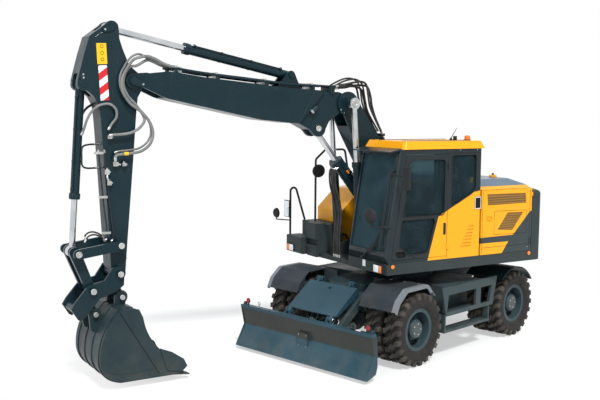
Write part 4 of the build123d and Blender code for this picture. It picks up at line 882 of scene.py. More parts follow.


# Black for seams, lap joints and print, and as painted shade on the floor of the door recess
seam_black_and_painted_shade = paint("seam black", (0.010, 0.010, 0.010), rough=0.8, dust=0.05, coat=0.0)
panel_face = 1.2452
for name, side in (("left", 1), ("right", -1)):
    bm = bmesh.new()
    flap = [(-0.795, 2.08), (-1.455, 2.07), (-1.455, 1.72), (-0.795, 1.73), (-0.795, 2.08)]
    face, outward = side * panel_face, (0, side, 0)
    strip(bm, [(x, face, z) for x, z in flap], 0.005, outward, 0.0004)
    for x in (-0.560, -1.520):
        strip(bm, [(x, face, 1.46), (x, face, 2.38)], 0.006, outward, 0.0005)
    strip(bm, [(-0.56, face, 1.545), (-1.52, face, 1.545)], 0.005, outward, 0.0004)
    piece(f"door_seams_{name}", bm, f"engine_door_{name}", "black_paint", seam_black_and_painted_shade, turn=parked)
    corners = [(x, face, z) for x in (-0.60, -1.49) for z in (1.50, 2.36)]
    on_upper(f"door_screws_{name}", corners, outward, 0.012, f"engine_door_{name}")

# Tank housing and right deck
# The tank is yellow behind the boom; the two steps in front of it have chequered steel tops.
finish(paint("tank paint", warm_yellow, rough=0.32, dust_top=2.0, dust=0.10, coat=0.3), "tank_cover")
bm = bmesh.new()
for low, high in (
    ((0.80, -1.15, 1.7905), (1.02, -0.62, 1.7925)),
    ((1.075, -1.15, 1.5605), (1.165, -0.62, 1.5625)),
):
    block(bm, low, high, 0.0008)
    rows = int((high[0] - low[0]) / 0.04)
    for row in range(rows):
        for place in range(9):
            x = low[0] + 0.02 + 0.04 * row
            y = low[1] + 0.03 + 0.056 * place
            lean = 0.011 if (row + place) % 2 else -0.011
            ends = [(x - 0.008, y - lean, high[2]), (x + 0.008, y + lean, high[2])]
            strip(bm, ends, 0.005, (0, 0, 1), 0.0025)
piece("right_treads", bm, "upper", "grey_paint", chassis_paint, turn=parked)

# Cab shell, roof and door
# Rolled steel posts in black-grey paint; the lower rear corner and the roof are warm yellow.


def cab_bands(nodes, links, coordinates):
    """Black-grey posts, with the yellow corner panel that sweeps up to the engine door"""
    x, y, z = upper_axes(nodes, links, coordinates)
    outer = worked(nodes, links, "GREATER_THAN", y, 1.150)
    lower = within(nodes, links, x, z, [(0.463, 1.44), (0.28, 2.057), (-0.55, 2.057), (-0.55, 1.44)])
    upper = within(nodes, links, x, z, [(0.28, 2.057), (-0.386, 2.386), (-0.55, 2.41), (-0.55, 2.057)])
    panel = worked(nodes, links, "MULTIPLY", worked(nodes, links, "MAXIMUM", lower, upper), outer)
    return mixed(nodes, links, panel, (0.009, 0.017, 0.021), warm_yellow)


cab_paint = paint(
    "cab paint", (0.009, 0.017, 0.021), rough=0.33, dust_top=2.2, dust=0.10, coat=0.3, pattern=cab_bands,
)
finish(cab_paint, "cab_shell", "cab_door")
finish(yellow_paint, "cab_roof")
black_steel = paint("black steel", (0.010, 0.014, 0.016), rough=0.36, dust=0.05, coat=0.2)
finish(black_steel, "handrails")

seal_rubber = rubber("window seal", (0.014, 0.014, 0.015), (0.05, 0.05, 0.048), 0.2)
panes = {
    # pane: body, outline of its opening (x, z), corner radius
    "upper": ("cab_door", [(0.175, 2.085), (0.175, 2.87), (0.80, 2.87), (0.925, 2.085)], 0.045),
    "lower": ("cab_door", [(0.33, 2.04), (0.47, 1.56), (0.80, 1.54), (0.98, 1.69), (0.93, 2.04)], 0.045),
    "rear": (
        "upper", [(0.05, 2.2), (0.05, 2.93), (-0.41, 2.93), (-0.41, 2.44), (-0.33, 2.37), (-0.06, 2.24)],
        0.030,
    ),
}


def rounded(corners, radius, steps=5):
    """An outline whose corners are rounded"""
    smooth = []
    for number, corner in enumerate(corners):
        here = Vector(corner)
        back = (Vector(corners[number - 1]) - here).normalized()
        ahead = (Vector(corners[(number + 1) % len(corners)]) - here).normalized()
        half = back.angle(ahead) / 2
        reach = min(radius / math.tan(half), 0.09)
        centre = here + (back + ahead).normalized() * (reach / math.cos(half))
        start, end = here + back * reach, here + ahead * reach
        for step in range(steps + 1):
            along = start.lerp(end, step / steps) - centre
            smooth.append(centre + along.normalized() * (start - centre).length)
    return smooth


for name, (body, corners, radius) in panes.items():
    outline = rounded(corners, radius)
    count = len(outline)
    bm = bmesh.new()
    rings = []
    for inset, out in ((0.000, 0.0), (0.002, 0.005), (-0.010, 0.006), (-0.015, 0.0)):
        ring = []
        for number, point in enumerate(outline):
            along = outline[(number + 1) % count] - outline[number - 1]
            normal = Vector((along.y, -along.x)).normalized()
            middle = sum(outline, Vector((0, 0))) / count
            if normal.dot(middle - point) < 0:
                normal = -normal
            moved = point + normal * inset
            ring.append(bm.verts.new((moved.x, 1.2448 + out, moved.y)))
        rings.append(ring)
    for low, high in zip(rings, rings[1:] + rings[:1]):
        for number in range(count):
            after = (number + 1) % count
            bm.faces.new((low[number], high[number], high[after], low[after]))
    piece(f"seal_{name}", bm, body, "black_paint", seal_rubber, turn=parked)

# Seams, labels, recess, latch and handle on the side of the cab
# Panel joints show as dark gaps; the floor of the recess is painted black as painted shade; the labels are
# blank film; latch and handle are moulded in black.
bm = bmesh.new()
for (x1, z1), (x2, z2) in (((0.118, 1.46), (0.118, 2.97)), ((-0.49, 2.957), (0.11, 2.957))):
    strip(bm, [(x1, panel_face, z1), (x2, panel_face, z2)], 0.006, (0, 1, 0), 0.0006)
piece("cab_seams", bm, "upper", "black_paint", seam_black_and_painted_shade, turn=parked)
bm = bmesh.new()
strip(bm, [(-0.460, 1.2455, 2.128), (-0.460, 1.2455, 2.318)], 0.125, (0, 1, 0), 0.0008)
strip(bm, [(-0.460, 1.2465, 2.134), (-0.460, 1.2465, 2.312)], 0.113, (0, 1, 0), 0.0006, slot=1)
strip(bm, [(-0.460, 1.2475, 2.145), (-0.460, 1.2475, 2.300)], 0.095, (0, 1, 0), 0.0006)
piece("blank_label", bm, "upper", "trim", seam_black_and_painted_shade, blank_white, turn=parked)
label_yellow = paint("label yellow", (0.85, 0.50, 0.02), rough=0.5, dust=0.0, coat=0.0)
bm = bmesh.new()
strip(bm, [(-0.345, 1.2185, 2.52), (-0.345, 1.2185, 2.60)], 0.065, (0, 1, 0), 0.0006)
piece("window_label", bm, "upper", "trim", label_yellow, turn=parked)
bm = bmesh.new()
# floor of the door recess, painted black: painted shade at the bottom of the recess
recess = [
    bm.verts.new((x, 1.2262, z))
    for x, z in ((1.018, 1.596), (0.857, 1.592), (0.866, 1.526), (0.986, 1.521), (1.023, 1.562))
]
bm.faces.new(recess)
behind = [bm.verts.new(vertex.co + Vector((0, -0.001, 0))) for vertex in recess]
bm.faces.new(behind[::-1])
for number, vertex in enumerate(recess):
    after = (number + 1) % len(recess)
    bm.faces.new((vertex, behind[number], behind[after], recess[after]))
piece("recess_floor", bm, "cab_door", "black_paint", seam_black_and_painted_shade, turn=parked)
bm = bmesh.new()
turned(
    bm, (0.705, 1.2445, 1.524), (0, 1, 0),
    [(0, 0), (0, 0.030), (0.004, 0.031), (0.007, 0.027), (0.009, 0.014), (0.009, 0)], 28,
)
block(bm, (0.150, 1.2445, 1.80), (0.185, 1.2600, 1.96), 0.006)
block(bm, (0.150, 1.2445, 1.795), (0.185, 1.2480, 1.965), 0.001)
piece("door_handle", bm, "cab_door", "trim", trim_plastic, turn=parked)
on_upper("cab_screws", [(x, panel_face, 3.000) for x in (-0.42, -0.10)], (0, 1, 0), 0.012)

# Glass
# Tinted safety glass whose reflecting layer has a bluish base colour, a painted reflection of the sky; the
# windscreen carries a wiper.
tinted_glass, nodes, links, coordinates, output = new_material("tinted glass")
haze = cloud(nodes, links, coordinates, 2.2, 5, 0.35, 0.75, 0.0, 0.6)
clear = nodes.new("ShaderNodeBsdfTransparent")
links.new(mixed(nodes, links, haze, (0.42, 0.51, 0.53), (0.55, 0.64, 0.66)), clear.inputs["Color"])
gloss_and_painted_sky = nodes.new("ShaderNodeBsdfPrincipled")
# bluish base colour: a painted reflection of the sky, weighted by the Fresnel film
gloss_and_painted_sky.inputs["Base Color"].default_value = (0.10, 0.19, 0.23, 1)
links.new(cloud(nodes, links, coordinates, 14, 6, 0.45, 0.8, 0.02, 0.10), gloss_and_painted_sky.inputs["Roughness"])
sheen = nodes.new("ShaderNodeFresnel")
sheen.inputs["IOR"].default_value = 1.45
film = worked(
    nodes, links, "ADD", sheen.outputs[0], cloud(nodes, links, coordinates, 5, 7, 0.45, 0.75, 0.04, 0.11),
)
tint = nodes.new("ShaderNodeMixShader")
links.new(film, tint.inputs[0])
links.new(clear.outputs[0], tint.inputs[1])
links.new(gloss_and_painted_sky.outputs[0], tint.inputs[2])
links.new(tint.outputs[0], output.inputs["Surface"])
finish(tinted_glass, "cab_glass", "door_glass")
bm = bmesh.new()
wiper_foot = Vector((1.212, 0.700, 1.470))
wiper_elbow = Vector((1.207, 1.000, 1.720))
wiper_tip = Vector((1.178, 1.140, 1.920))
screen_out = Vector((1, 0, 0.159)).normalized()
turned(bm, wiper_foot - screen_out * 0.030, screen_out, capped(0.052, 0.026, 0.004), 20)
strip(bm, [wiper_foot + screen_out * 0.006, wiper_elbow, wiper_tip], 0.020, screen_out, 0.010)
strip(
    bm, [wiper_elbow + Vector((0.018, -0.100, -0.150)), wiper_elbow + Vector((-0.020, 0.140, 0.200))],
    0.030, screen_out, 0.012,
)
piece("wiper", bm, "upper", "trim", trim_plastic, turn=parked)

# Round mirror before the windscreen
# A black moulded head on a bent steel arm from the door post.
bm = bmesh.new()
head_facing = Vector((1, 0.25, -0.10))
turned(
    bm, (1.345, 1.070, 2.110), head_facing,
    [(0, 0), (0, 0.106), (0.010, 0.112), (0.022, 0.104), (0.036, 0.076), (0.044, 0.036), (0.046, 0)], 40,
)
turned(bm, (1.164, 1.238, 1.952), (0.19, -0.15, 0.01), capped(0.250, 0.009, 0.002), 12)
turned(bm, (1.350, 1.088, 1.955), (0.0, -0.10, 0.90), capped(0.110, 0.009, 0.002), 12)
turned(bm, (1.150, 1.238, 1.950), (1, 0, 0), capped(0.024, 0.024, 0.003), 16)
piece("front_mirror", bm, "upper", "trim", trim_plastic, turn=parked)

# Roof fittings
# Two black rails, an antenna on its base, a low fin, and an orange beacon behind them.
lens_amber = paint("amber lens", (0.80, 0.20, 0.015), rough=0.18, dust=0.02, coat=0.8)
lens_clear = paint("clear lens", (0.72, 0.76, 0.78), rough=0.12, dust=0.05, coat=0.9)
bm = bmesh.new()
turned(
    bm, (-0.213, 0.90, 3.126), (0, 0, 1), [(0, 0), (0, 0.028), (0.012, 0.024), (0.040, 0.010), (0.042, 0)],
    20,
)
lean = Vector((-0.323, 0.90, 3.313)) - Vector((-0.213, 0.90, 3.165))
turned(bm, (-0.213, 0.90, 3.160), lean, [(0, 0), (0, 0.0060), (lean.length, 0.0035), (lean.length, 0)], 10)
block(bm, (-0.320, 0.885, 3.126), (-0.262, 0.915, 3.190), 0.010)
turned(
    bm, (-0.44, 1.00, 3.126), (0, 0, 1), [(0, 0), (0, 0.055), (0.010, 0.055), (0.014, 0.045), (0.014, 0)],
    28,
)
for y in (0.50, 1.05):
    strip(bm, [(-0.45, y, 3.1302), (0.80, y, 3.1302)], 0.022, (0, 0, 1), 0.006)
piece("roof_fittings", bm, "upper", "trim", trim_plastic, turn=parked)
bm = bmesh.new()
turned(
    bm, (-0.44, 1.00, 3.139), (0, 0, 1),
    [(0, 0), (0, 0.043), (0.030, 0.044), (0.052, 0.041), (0.060, 0.033), (0.064, 0.018), (0.065, 0)], 32,
)
piece("beacon_lens", bm, "upper", "lamp", lens_amber, turn=parked)

# Driver's place
# Foam cushions in dark woven cloth on a sprung box, two consoles with levers, and a steering column.
weave, nodes, links, coordinates, output = new_material("seat cloth")
shader = nodes.new("ShaderNodeBsdfPrincipled")
threads = nodes.new("ShaderNodeTexWave")
threads.inputs["Scale"].default_value = 90
threads.inputs["Distortion"].default_value = 2.0
links.new(coordinates, threads.inputs["Vector"])
cloth = mixed(nodes, links, threads.outputs["Fac"], (0.030, 0.031, 0.034), (0.075, 0.078, 0.085))
links.new(cloth, shader.inputs["Base Color"])
links.new(cloud(nodes, links, coordinates, 30, 5, 0.3, 0.7, 0.80, 0.98), shader.inputs["Roughness"])
shader.inputs["Sheen Weight"].default_value = 0.3
rise = nodes.new("ShaderNodeBump")
rise.inputs["Distance"].default_value = 0.0008
links.new(threads.outputs["Fac"], rise.inputs["Height"])
links.new(rise.outputs["Normal"], shader.inputs["Normal"])
links.new(shader.outputs[0], output.inputs["Surface"])


def cushion(name, centre, size, lean, squareness=5.0):
    """A stuffed block with swelling faces and a seam round it"""
    bm = bmesh.new()
    bmesh.ops.create_cube(bm, size=2)
    bmesh.ops.subdivide_edges(bm, edges=bm.edges[:], cuts=13, use_grid_fill=True)
    for vertex in bm.verts:
        power = sum(abs(value) ** squareness for value in vertex.co) ** (1 / squareness)
        vertex.co /= power
        seam = max(0.0, 1 - abs(vertex.co.z) * 14)
        vertex.co.x *= 1 - 0.018 * seam
        vertex.co.y *= 1 - 0.018 * seam
    shape = Matrix.Translation(centre) @ Matrix.Rotation(lean, 4, "Y") @ Matrix.Diagonal(
        (size[0] / 2, size[1] / 2, size[2] / 2, 1)
    )
    bmesh.ops.transform(bm, matrix=shape, verts=bm.verts)
    made = piece(name, bm, "upper", "trim", weave, turn=parked, smooth=60)


cushion("seat_cushion", (0.01, 0.77, 1.880), (0.52, 0.48, 0.13), math.radians(-4))
cushion("seat_back", (-0.285, 0.77, 2.240), (0.11, 0.46, 0.60), math.radians(-8))
cushion("head_rest", (-0.345, 0.77, 2.640), (0.085, 0.27, 0.17), math.radians(-8), 4.0)
bm = bmesh.new()
block(bm, (-0.26, 0.54, 1.475), (0.23, 1.00, 1.56), 0.012)
for level in range(7):
    z = 1.56 + 0.030 * level
    block(bm, (-0.22 + 0.006 * (level % 2), 0.58 + 0.006 * (level % 2), z), (0.19, 0.96, z + 0.026), 0.008)
block(bm, (-0.24, 0.55, 1.77), (0.22, 0.99, 1.822), 0.012)
for y in (0.695, 0.845):
    turned(bm, (-0.328, y, 2.50), (-0.10, 0, 1), capped(0.10, 0.007, 0.002), 12)
for y in (0.45, 1.09):
    block(bm, (-0.20, y - 0.045, 1.475), (0.35, y + 0.045, 1.86), 0.016)
    block(bm, (-0.17, y - 0.040, 1.95), (0.20, y + 0.040, 2.015), 0.024)
    turned(bm, (-0.02, y, 1.855), (0, 0, 1), capped(0.11, 0.024, 0.004), 16)
    turned(
        bm, (0.285, y, 1.855), (0.12, 0, 1),
        [(0, 0), (0, 0.044), (0.030, 0.034), (0.050, 0.018), (0.110, 0.014), (0.116, 0)], 20,
    )
    turned(
        bm, (0.298, y, 1.960), (0.12, 0, 1),
        [(0, 0), (0, 0.016), (0.030, 0.021), (0.080, 0.023), (0.100, 0.016), (0.104, 0)], 20,
    )
turned(
    bm, (0.800, 0.77, 1.475), (-0.12, 0, 1),
    [(0, 0), (0, 0.085), (0.020, 0.085), (0.045, 0.050), (0.560, 0.040), (0.600, 0.030), (0.600, 0)], 28,
)
wheel_middle = Vector((0.722, 0.77, 2.085))
wheel_axis = Vector((-0.30, 0, 1)).normalized()
wheel_across = wheel_axis.orthogonal().normalized()
turned(
    bm, wheel_middle - wheel_axis * 0.04, wheel_axis,
    [(0, 0), (0, 0.045), (0.03, 0.060), (0.042, 0.040), (0.044, 0)], 24,
)
rim_rings = []
for step in range(48):
    turn_to = Matrix.Rotation(2 * math.pi * step / 48, 3, wheel_axis)
    spoke = turn_to @ wheel_across
    ring = []
    for around in range(10):
        angle = 2 * math.pi * around / 10
        reach = 0.185 + 0.015 * math.cos(angle)
        ring.append(bm.verts.new(wheel_middle + spoke * reach + wheel_axis * 0.015 * math.sin(angle)))
    rim_rings.append(ring)
for low, high in zip(rim_rings, rim_rings[1:] + rim_rings[:1]):
    for around in range(10):
        after = (around + 1) % 10
        bm.faces.new((low[around], high[around], high[after], low[after]))
for turn_degrees in (20, 140, 260):
    spoke = Matrix.Rotation(math.radians(turn_degrees), 3, wheel_axis) @ wheel_across
    turned(
        bm, wheel_middle + spoke * 0.03 - wheel_axis * 0.01, spoke + wheel_axis * 0.06,
        capped(0.155, 0.011, 0.002), 12,
    )
block(bm, (0.990, 0.36, 2.02), (1.030, 0.60, 2.20), 0.014)
turned(bm, (0.985, 0.48, 1.50), (0.04, 0, 1), capped(0.54, 0.014, 0.003), 14)
furniture = piece("driver_place", bm, "upper", "trim", trim_plastic, turn=parked)
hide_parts("cab_interior")

# Mirrors and lamps
# Black moulded backs with silvered glass; head lamps behind clear covers with an amber end.
finish(trim_plastic, "mirrors", "lamps")
silvered = bare_metal("mirror glass", (0.78, 0.82, 0.84), (0.70, 0.75, 0.78), 0.07)
bm = bmesh.new()
block(bm, (1.3445, -1.281, 1.860), (1.3475, -1.139, 2.110), 0.001)
block(bm, (1.0425, 1.438, 2.500), (1.0450, 1.562, 2.785), 0.001)
for middle, facing, radius in (
    ((1.475, -1.300, 1.915), (1, 0.1, 0), 0.073), ((0.985, -0.835, 2.600), (0.25, 1, -0.1), 0.097),
):
    turned(
        bm, Vector(middle) - Vector(facing).normalized() * 0.004, facing,
        [(0, 0), (0, radius), (0.003, radius), (0.0035, 0)], 36,
    )
piece("mirror_faces", bm, "upper", "lamp", silvered, turn=parked)
bm = bmesh.new()
block(bm, (1.2235, 0.998, 1.313), (1.2300, 1.112, 1.412), 0.003)
block(bm, (1.2235, 1.122, 1.313), (1.2295, 1.180, 1.412), 0.003, slot=1)
block(bm, (1.3465, -1.112, 1.332), (1.3525, -0.998, 1.428), 0.003)
block(bm, (1.3465, -1.184, 1.332), (1.3520, -1.122, 1.428), 0.003, slot=1)
for x in (1.085, -1.520):
    for side in (1, -1):
        turned(
            bm, (x, side * 1.2565, 1.40), (0, side, 0),
            [(0, 0), (0, 0.030), (0.004, 0.030), (0.008, 0.022), (0.008, 0)], 24, slot=1,
        )
piece("lamp_lenses", bm, "upper", "lamp", lens_clear, lens_amber, turn=parked)

# Booms and arm
# Glossy dark blue-green box sections. Welds run along the elbow casting and the head plates; pin
# ends are ground and plated, or painted over; flat keeper bars lock them and are held by screws.
boom_paint = paint("boom paint", (0.004, 0.019, 0.026), rough=0.24, dust_top=1.2, dust=0.14, coat=0.12)
finish(boom_paint, "lower_boom", "upper_boom", "arm", "rocker", "push_link", "coupler")
# Weld beads are real welds; their teal, paler than the boom paint, is a painted highlight along the plate
# edges
weld_paint_with_highlight = paint("weld bead", (0.014, 0.034, 0.042), rough=0.35, dust=0.1, coat=0.1)
boom_middle = -0.100


def bead(bm, points, radius=0.0045):
    """A weld bead that follows points"""
    for first, second in zip(points, points[1:]):
        run = Vector(second) - Vector(first)
        turned(bm, first, run, [(0, 0), (0, radius), (run.length, radius), (run.length, 0)], 8)


pin_ends = (
    # piece, body, finish, pins (x, z, how far out from the boom's middle, radius)
    ("pin_ends_lift", "lift_rod", plated, [(1.050, 3.652, 0.343, 0.060)]),
    ("pin_ends_upper_boom", "upper_boom", boom_paint, [(2.000, 4.040, 0.125, 0.040)]),
    ("pin_ends_adjusting", "upper_boom", plated, [(1.541, 3.285, 0.131, 0.045)]),
    (
        "pin_ends_arm", "arm", boom_paint,
        [(4.380, 3.900, 0.210, 0.058), (4.641, 4.557, 0.150, 0.042), (5.010, 3.845, 0.150, 0.042)],
    ),
    ("pin_ends_rocker", "rocker", plated, [(4.604, 1.810, 0.314, 0.040), (5.155, 1.736, 0.314, 0.042)]),
    (
        "pin_ends_bucket", "bucket", plated,
        [
            (4.597, 1.431, 0.255, 0.040), (4.956, 1.240, 0.255, 0.040), (4.566, 1.122, 0.215, 0.034),
            (4.918, 0.932, 0.215, 0.034),
        ],
    ),
)
keeper_thickness = 0.012
for name, body, metal, pins in pin_ends:
    bm = bmesh.new()
    for x, z, out, radius in pins:
        # Ground end with a turned groove and a grease nipple
        for side in (1, -1):
            turned(
                bm, (x, boom_middle + side * out, z), (0, side, 0),
                [
                    (0, 0), (0, radius), (0.005, radius), (0.008, radius - 0.003), (0.008, radius * 0.45),
                    (0.006, radius * 0.40), (0.006, 0.006), (0.014, 0.005), (0.014, 0),
                ],
                32,
            )
    piece(name, bm, body, "rod_chrome", metal, turn=parked)


def keeper(bm, first, second, y, side, radius):
    """A flat bar with round ends that locks a pin"""
    first, second = Vector((first[0], y, first[1])), Vector((second[0], y, second[1]))
    run = (second - first).normalized()
    across = Vector((0, side, 0)).cross(run)
    rim = []
    for middle, from_turn in ((second, -90), (first, 90)):
        for step in range(9):
            turn_to = math.radians(from_turn + 22.5 * step)
            rim.append(middle + run * radius * math.cos(turn_to) + across * radius * math.sin(turn_to))
    low = [bm.verts.new(point) for point in rim]
    high = [bm.verts.new(point + Vector((0, side * keeper_thickness, 0))) for point in rim]
    bm.faces.new(low)
    bm.faces.new(high[::-1])
    for number in range(len(rim)):
        after = (number + 1) % len(rim)
        bm.faces.new((low[number], low[after], high[after], high[number]))


for side, name in ((1, "left"), (-1, "right")):
    bm = bmesh.new()
    keeper(bm, (4.380, 3.900), (4.262, 3.858), boom_middle + side * 0.2180, side, 0.045)
    keeper(bm, (4.641, 4.557), (4.735, 4.530), boom_middle + side * 0.1580, side, 0.034)
    piece(f"arm_keepers_{name}", bm, "arm", "grey_paint", boom_paint, turn=parked)

arm_half, boom_half = 0.1502, 0.1852
arm_doubler = [
    (4.861, 4.429), (4.757, 4.496), (4.629, 4.453), (4.553, 4.283), (4.582, 4.032), (4.638, 3.780),
    (4.666, 3.592),
]
arm_foot_plate = [(4.475, 1.62), (4.560, 1.62), (4.610, 1.68), (4.690, 1.68)]
elbow_seam = [(1.895, 3.372), (1.640, 3.830)]
nose_seam = [(3.780, 3.666), (3.870, 3.850), (3.850, 4.030)]
for side, name in ((1, "left"), (-1, "right")):
    for welds, body, half, seams in (
        ("arm_welds", "arm", arm_half, (arm_doubler, arm_foot_plate)),
        ("boom_welds", "upper_boom", boom_half, (elbow_seam, nose_seam)),
    ):
        bm = bmesh.new()
        for seam in seams:
            bead(bm, [(x, boom_middle + side * half, z) for x, z in seam])
        piece(f"{welds}_{name}", bm, body, "grey_paint", weld_paint_with_highlight, turn=parked)
    for screws, out, places, across, body in (
        ("nose_keeper_screws", 0.2302, [(4.262, 3.858)], 0.020, "arm"),
        ("head_keeper_screws", 0.1702, [(4.735, 4.530)], 0.020, "arm"),
        ("foot_keeper_screws", arm_half, [(5.012, 3.925), (5.016, 3.965)], 0.018, "arm"),
        ("elbow_keeper_screws", 0.1655, [(1.180, 3.560), (1.120, 3.515)], 0.018, "lower_boom"),
    ):
        points = [(x, boom_middle + side * out, z) for x, z in places]
        on_upper(f"{screws}_{name}", points, (0, side, 0), across, body)

# Work lamp on the elbow casting
# Moulded housing with a clear lens, held by a folded bracket.
lamp_back = Vector((1.600, 0.076, 3.600))
lamp_way = Vector((0.77, 0.06, -0.64)).normalized()
lamp_long = 0.110
bm = bmesh.new()
turned(
    bm, lamp_back, lamp_way,
    [(0, 0), (0, 0.020), (0.022, 0.037), (lamp_long - 0.012, 0.040), (lamp_long, 0.040), (lamp_long, 0)],
    24,
)
turned(
    bm, lamp_back + lamp_way * (lamp_long - 0.001), lamp_way,
    [(0, 0), (0, 0.035), (0.005, 0.031), (0.007, 0)], 24, slot=1,
)
block(bm, (1.632, 0.028, 3.555), (1.662, 0.050, 3.585), 0.003)
piece("boom_lamp", bm, "upper_boom", "lamp", chassis_paint, lens_clear, turn=parked)

# Pipes, hoses and their valves
# Steel pipe and grey spiral-guarded hose, held at both ends by plated fittings. A hose that passes a
# pin is baked in place and rides on no body.
hose, nodes, links, given, hose_inputs = new_tree(
    "hose along a path", "Path",
    {"Radius": "Float", "Rib depth": "Float", "Step": "Float", "Cover": "Material", "Fitting": "Material"},
    "Hose",
)
line = nodes.new("GeometryNodeMeshToCurve")
links.new(given.outputs["Path"], line.inputs[0])
flowing = nodes.new("GeometryNodeCurveSplineType")
flowing.spline_type = "CATMULL_ROM"
links.new(line.outputs[0], flowing.inputs["Curve"])
spaced = nodes.new("GeometryNodeResampleCurve")
spaced.mode = "LENGTH"
links.new(flowing.outputs[0], spaced.inputs["Curve"])
links.new(given.outputs["Step"], spaced.inputs["Length"])
along = nodes.new("GeometryNodeSplineParameter").outputs["Length"]
whole = nodes.new("GeometryNodeSplineLength").outputs["Length"]
from_end = worked(nodes, links, "MINIMUM", along, worked(nodes, links, "SUBTRACT", whole, along))
sleeve = worked(nodes, links, "LESS_THAN", from_end, 0.050)
wave = worked(nodes, links, "SINE", worked(nodes, links, "MULTIPLY", along, 2 * math.pi / 0.018), 0)
ribs = worked(nodes, links, "MULTIPLY", wave, given.outputs["Rib depth"])
ribbed = worked(nodes, links, "ADD", ribs, 1.0)
bare = worked(nodes, links, "MULTIPLY", ribbed, worked(nodes, links, "SUBTRACT", 1.0, sleeve))
thick = worked(nodes, links, "ADD", bare, worked(nodes, links, "MULTIPLY", sleeve, 1.22))
held = nodes.new("GeometryNodeCaptureAttribute")
held.capture_items.new("FLOAT", "Sleeve")
links.new(spaced.outputs[0], held.inputs["Geometry"])
links.new(sleeve, held.inputs["Sleeve"])
ring = nodes.new("GeometryNodeCurvePrimitiveCircle")
ring.inputs["Resolution"].default_value = 12
ring.inputs["Radius"].default_value = 1.0
skin = nodes.new("GeometryNodeCurveToMesh")
links.new(held.outputs["Geometry"], skin.inputs["Curve"])
links.new(ring.outputs["Curve"], skin.inputs["Profile Curve"])
links.new(worked(nodes, links, "MULTIPLY", thick, given.outputs["Radius"]), skin.inputs["Scale"])
skin.inputs["Fill Caps"].default_value = True
real = nodes.new("GeometryNodeRealizeInstances")
links.new(skin.outputs[0], real.inputs[0])
covered = nodes.new("GeometryNodeSetMaterial")
links.new(real.outputs[0], covered.inputs["Geometry"])
links.new(given.outputs["Cover"], covered.inputs["Material"])
fitted = nodes.new("GeometryNodeSetMaterial")
links.new(covered.outputs[0], fitted.inputs["Geometry"])
links.new(worked(nodes, links, "GREATER_THAN", held.outputs["Sleeve"], 0.5), fitted.inputs["Selection"])
links.new(given.outputs["Fitting"], fitted.inputs["Material"])
links.new(fitted.outputs[0], nodes.new("NodeGroupOutput").inputs[0])

guard_grey = rubber("grey spiral guard", (0.150, 0.152, 0.150), (0.30, 0.30, 0.29), 0.5)
hose_black = rubber("hydraulic hose", (0.020, 0.020, 0.021), (0.07, 0.068, 0.062), 0.4)


def run_hose(name, points, radius, ribs, cover, body, other=None, step=0.012):
    """A hose or pipe through points in the upper machine's axes, on body; when other is given, it is baked
    in place on no body
    """
    made = grown(
        name, [parked @ Vector(point) for point in points], hose,
        dict(zip(hose_inputs, (radius, ribs, step, cover, plated))),
        [(n, n + 1) for n in range(len(points) - 1)],
    )
    made.data.shade_smooth()
    if other:
        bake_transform(made)
    else:
        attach(made, body)


# Two guarded hoses over the boom nose to the rupture valves on the arm, and one on to the bucket ram
long_loop = [
    (4.290, 4.202), (4.397, 4.160), (4.491, 4.032), (4.546, 3.906), (4.534, 3.756), (4.443, 3.619),
    (4.311, 3.519), (4.190, 3.392),
    (4.137, 3.238), (4.179, 3.097), (4.302, 3.006), (4.464, 2.979), (4.565, 2.971), (4.636, 2.951),
    (4.646, 2.882),
]
short_loop = [
    (4.341, 4.094), (4.435, 4.072), (4.502, 3.982), (4.523, 3.844), (4.465, 3.707), (4.347, 3.582),
    (4.247, 3.423),
    (4.295, 3.322), (4.390, 3.258), (4.504, 3.228), (4.665, 3.217), (4.718, 3.204),
]
crown = [(3.760, 4.092), (3.860, 4.105), (3.980, 4.140), (4.080, 4.185), (4.190, 4.215)]
run_hose(
    "long_loop",
    [(x, 0.040 + 0.018 * n, z) for n, (x, z) in enumerate(crown)] + [(x, 0.130, z) for x, z in long_loop],
    0.019, 0.07, guard_grey, "upper_boom", "arm", 0.005,
)
run_hose(
    "long_loop_beside",
    [(x, -0.020 + 0.022 * n, z + 0.006 - 0.006 * n) for n, (x, z) in enumerate(crown)]
    + [(x + 0.012, 0.092, z + 0.038) for x, z in long_loop[:-1]],
    0.014, 0.07, guard_grey, "upper_boom", "arm", 0.005,
)
run_hose(
    "short_loop",
    [(x, -0.080 + 0.038 * n, z - 0.012 * n) for n, (x, z) in enumerate(crown)]
    + [(x, 0.115, z) for x, z in short_loop],
    0.018, 0.07, guard_grey, "upper_boom", "arm", 0.005,
)
ram_loops = [
    (4.718, 0.085, 3.280), (4.670, 0.092, 3.359), (4.615, 0.098, 3.435), (4.616, 0.105, 3.524),
    (4.661, 0.095, 3.585), (4.727, 0.082, 3.606),
    (4.829, 0.074, 3.583), (4.915, 0.060, 3.514), (4.971, 0.030, 3.407), (5.000, -0.005, 3.292),
    (5.028, -0.036, 3.215),
]
for name, cover in (("ram_loop", guard_grey), ("ram_loop_far", hose_black)):
    near = name == "ram_loop"
    run_hose(
        name, [(x, y if near else 2 * boom_middle - y, z) for x, y, z in ram_loops],
        0.016, 0.0, cover, "arm", "bucket_barrel", 0.010,
    )
black_pipes = paint("pipe paint", (0.014, 0.022, 0.026), rough=0.28, dust=0.05, coat=0.15)
top_line = [(1.310, 3.896), (1.560, 3.906), (2.080, 3.925), (2.701, 3.979), (3.355, 4.035), (3.780, 4.090)]
for number, y in enumerate((0.006, -0.034, -0.074, -0.116, -0.158, -0.200)):
    run_hose(
        f"boom_pipe_{number + 1}", [(x, y, z + 0.006 * (number % 2)) for x, z in top_line],
        0.012, 0.0, black_pipes, "upper_boom", step=0.04,
    )
bm = bmesh.new()
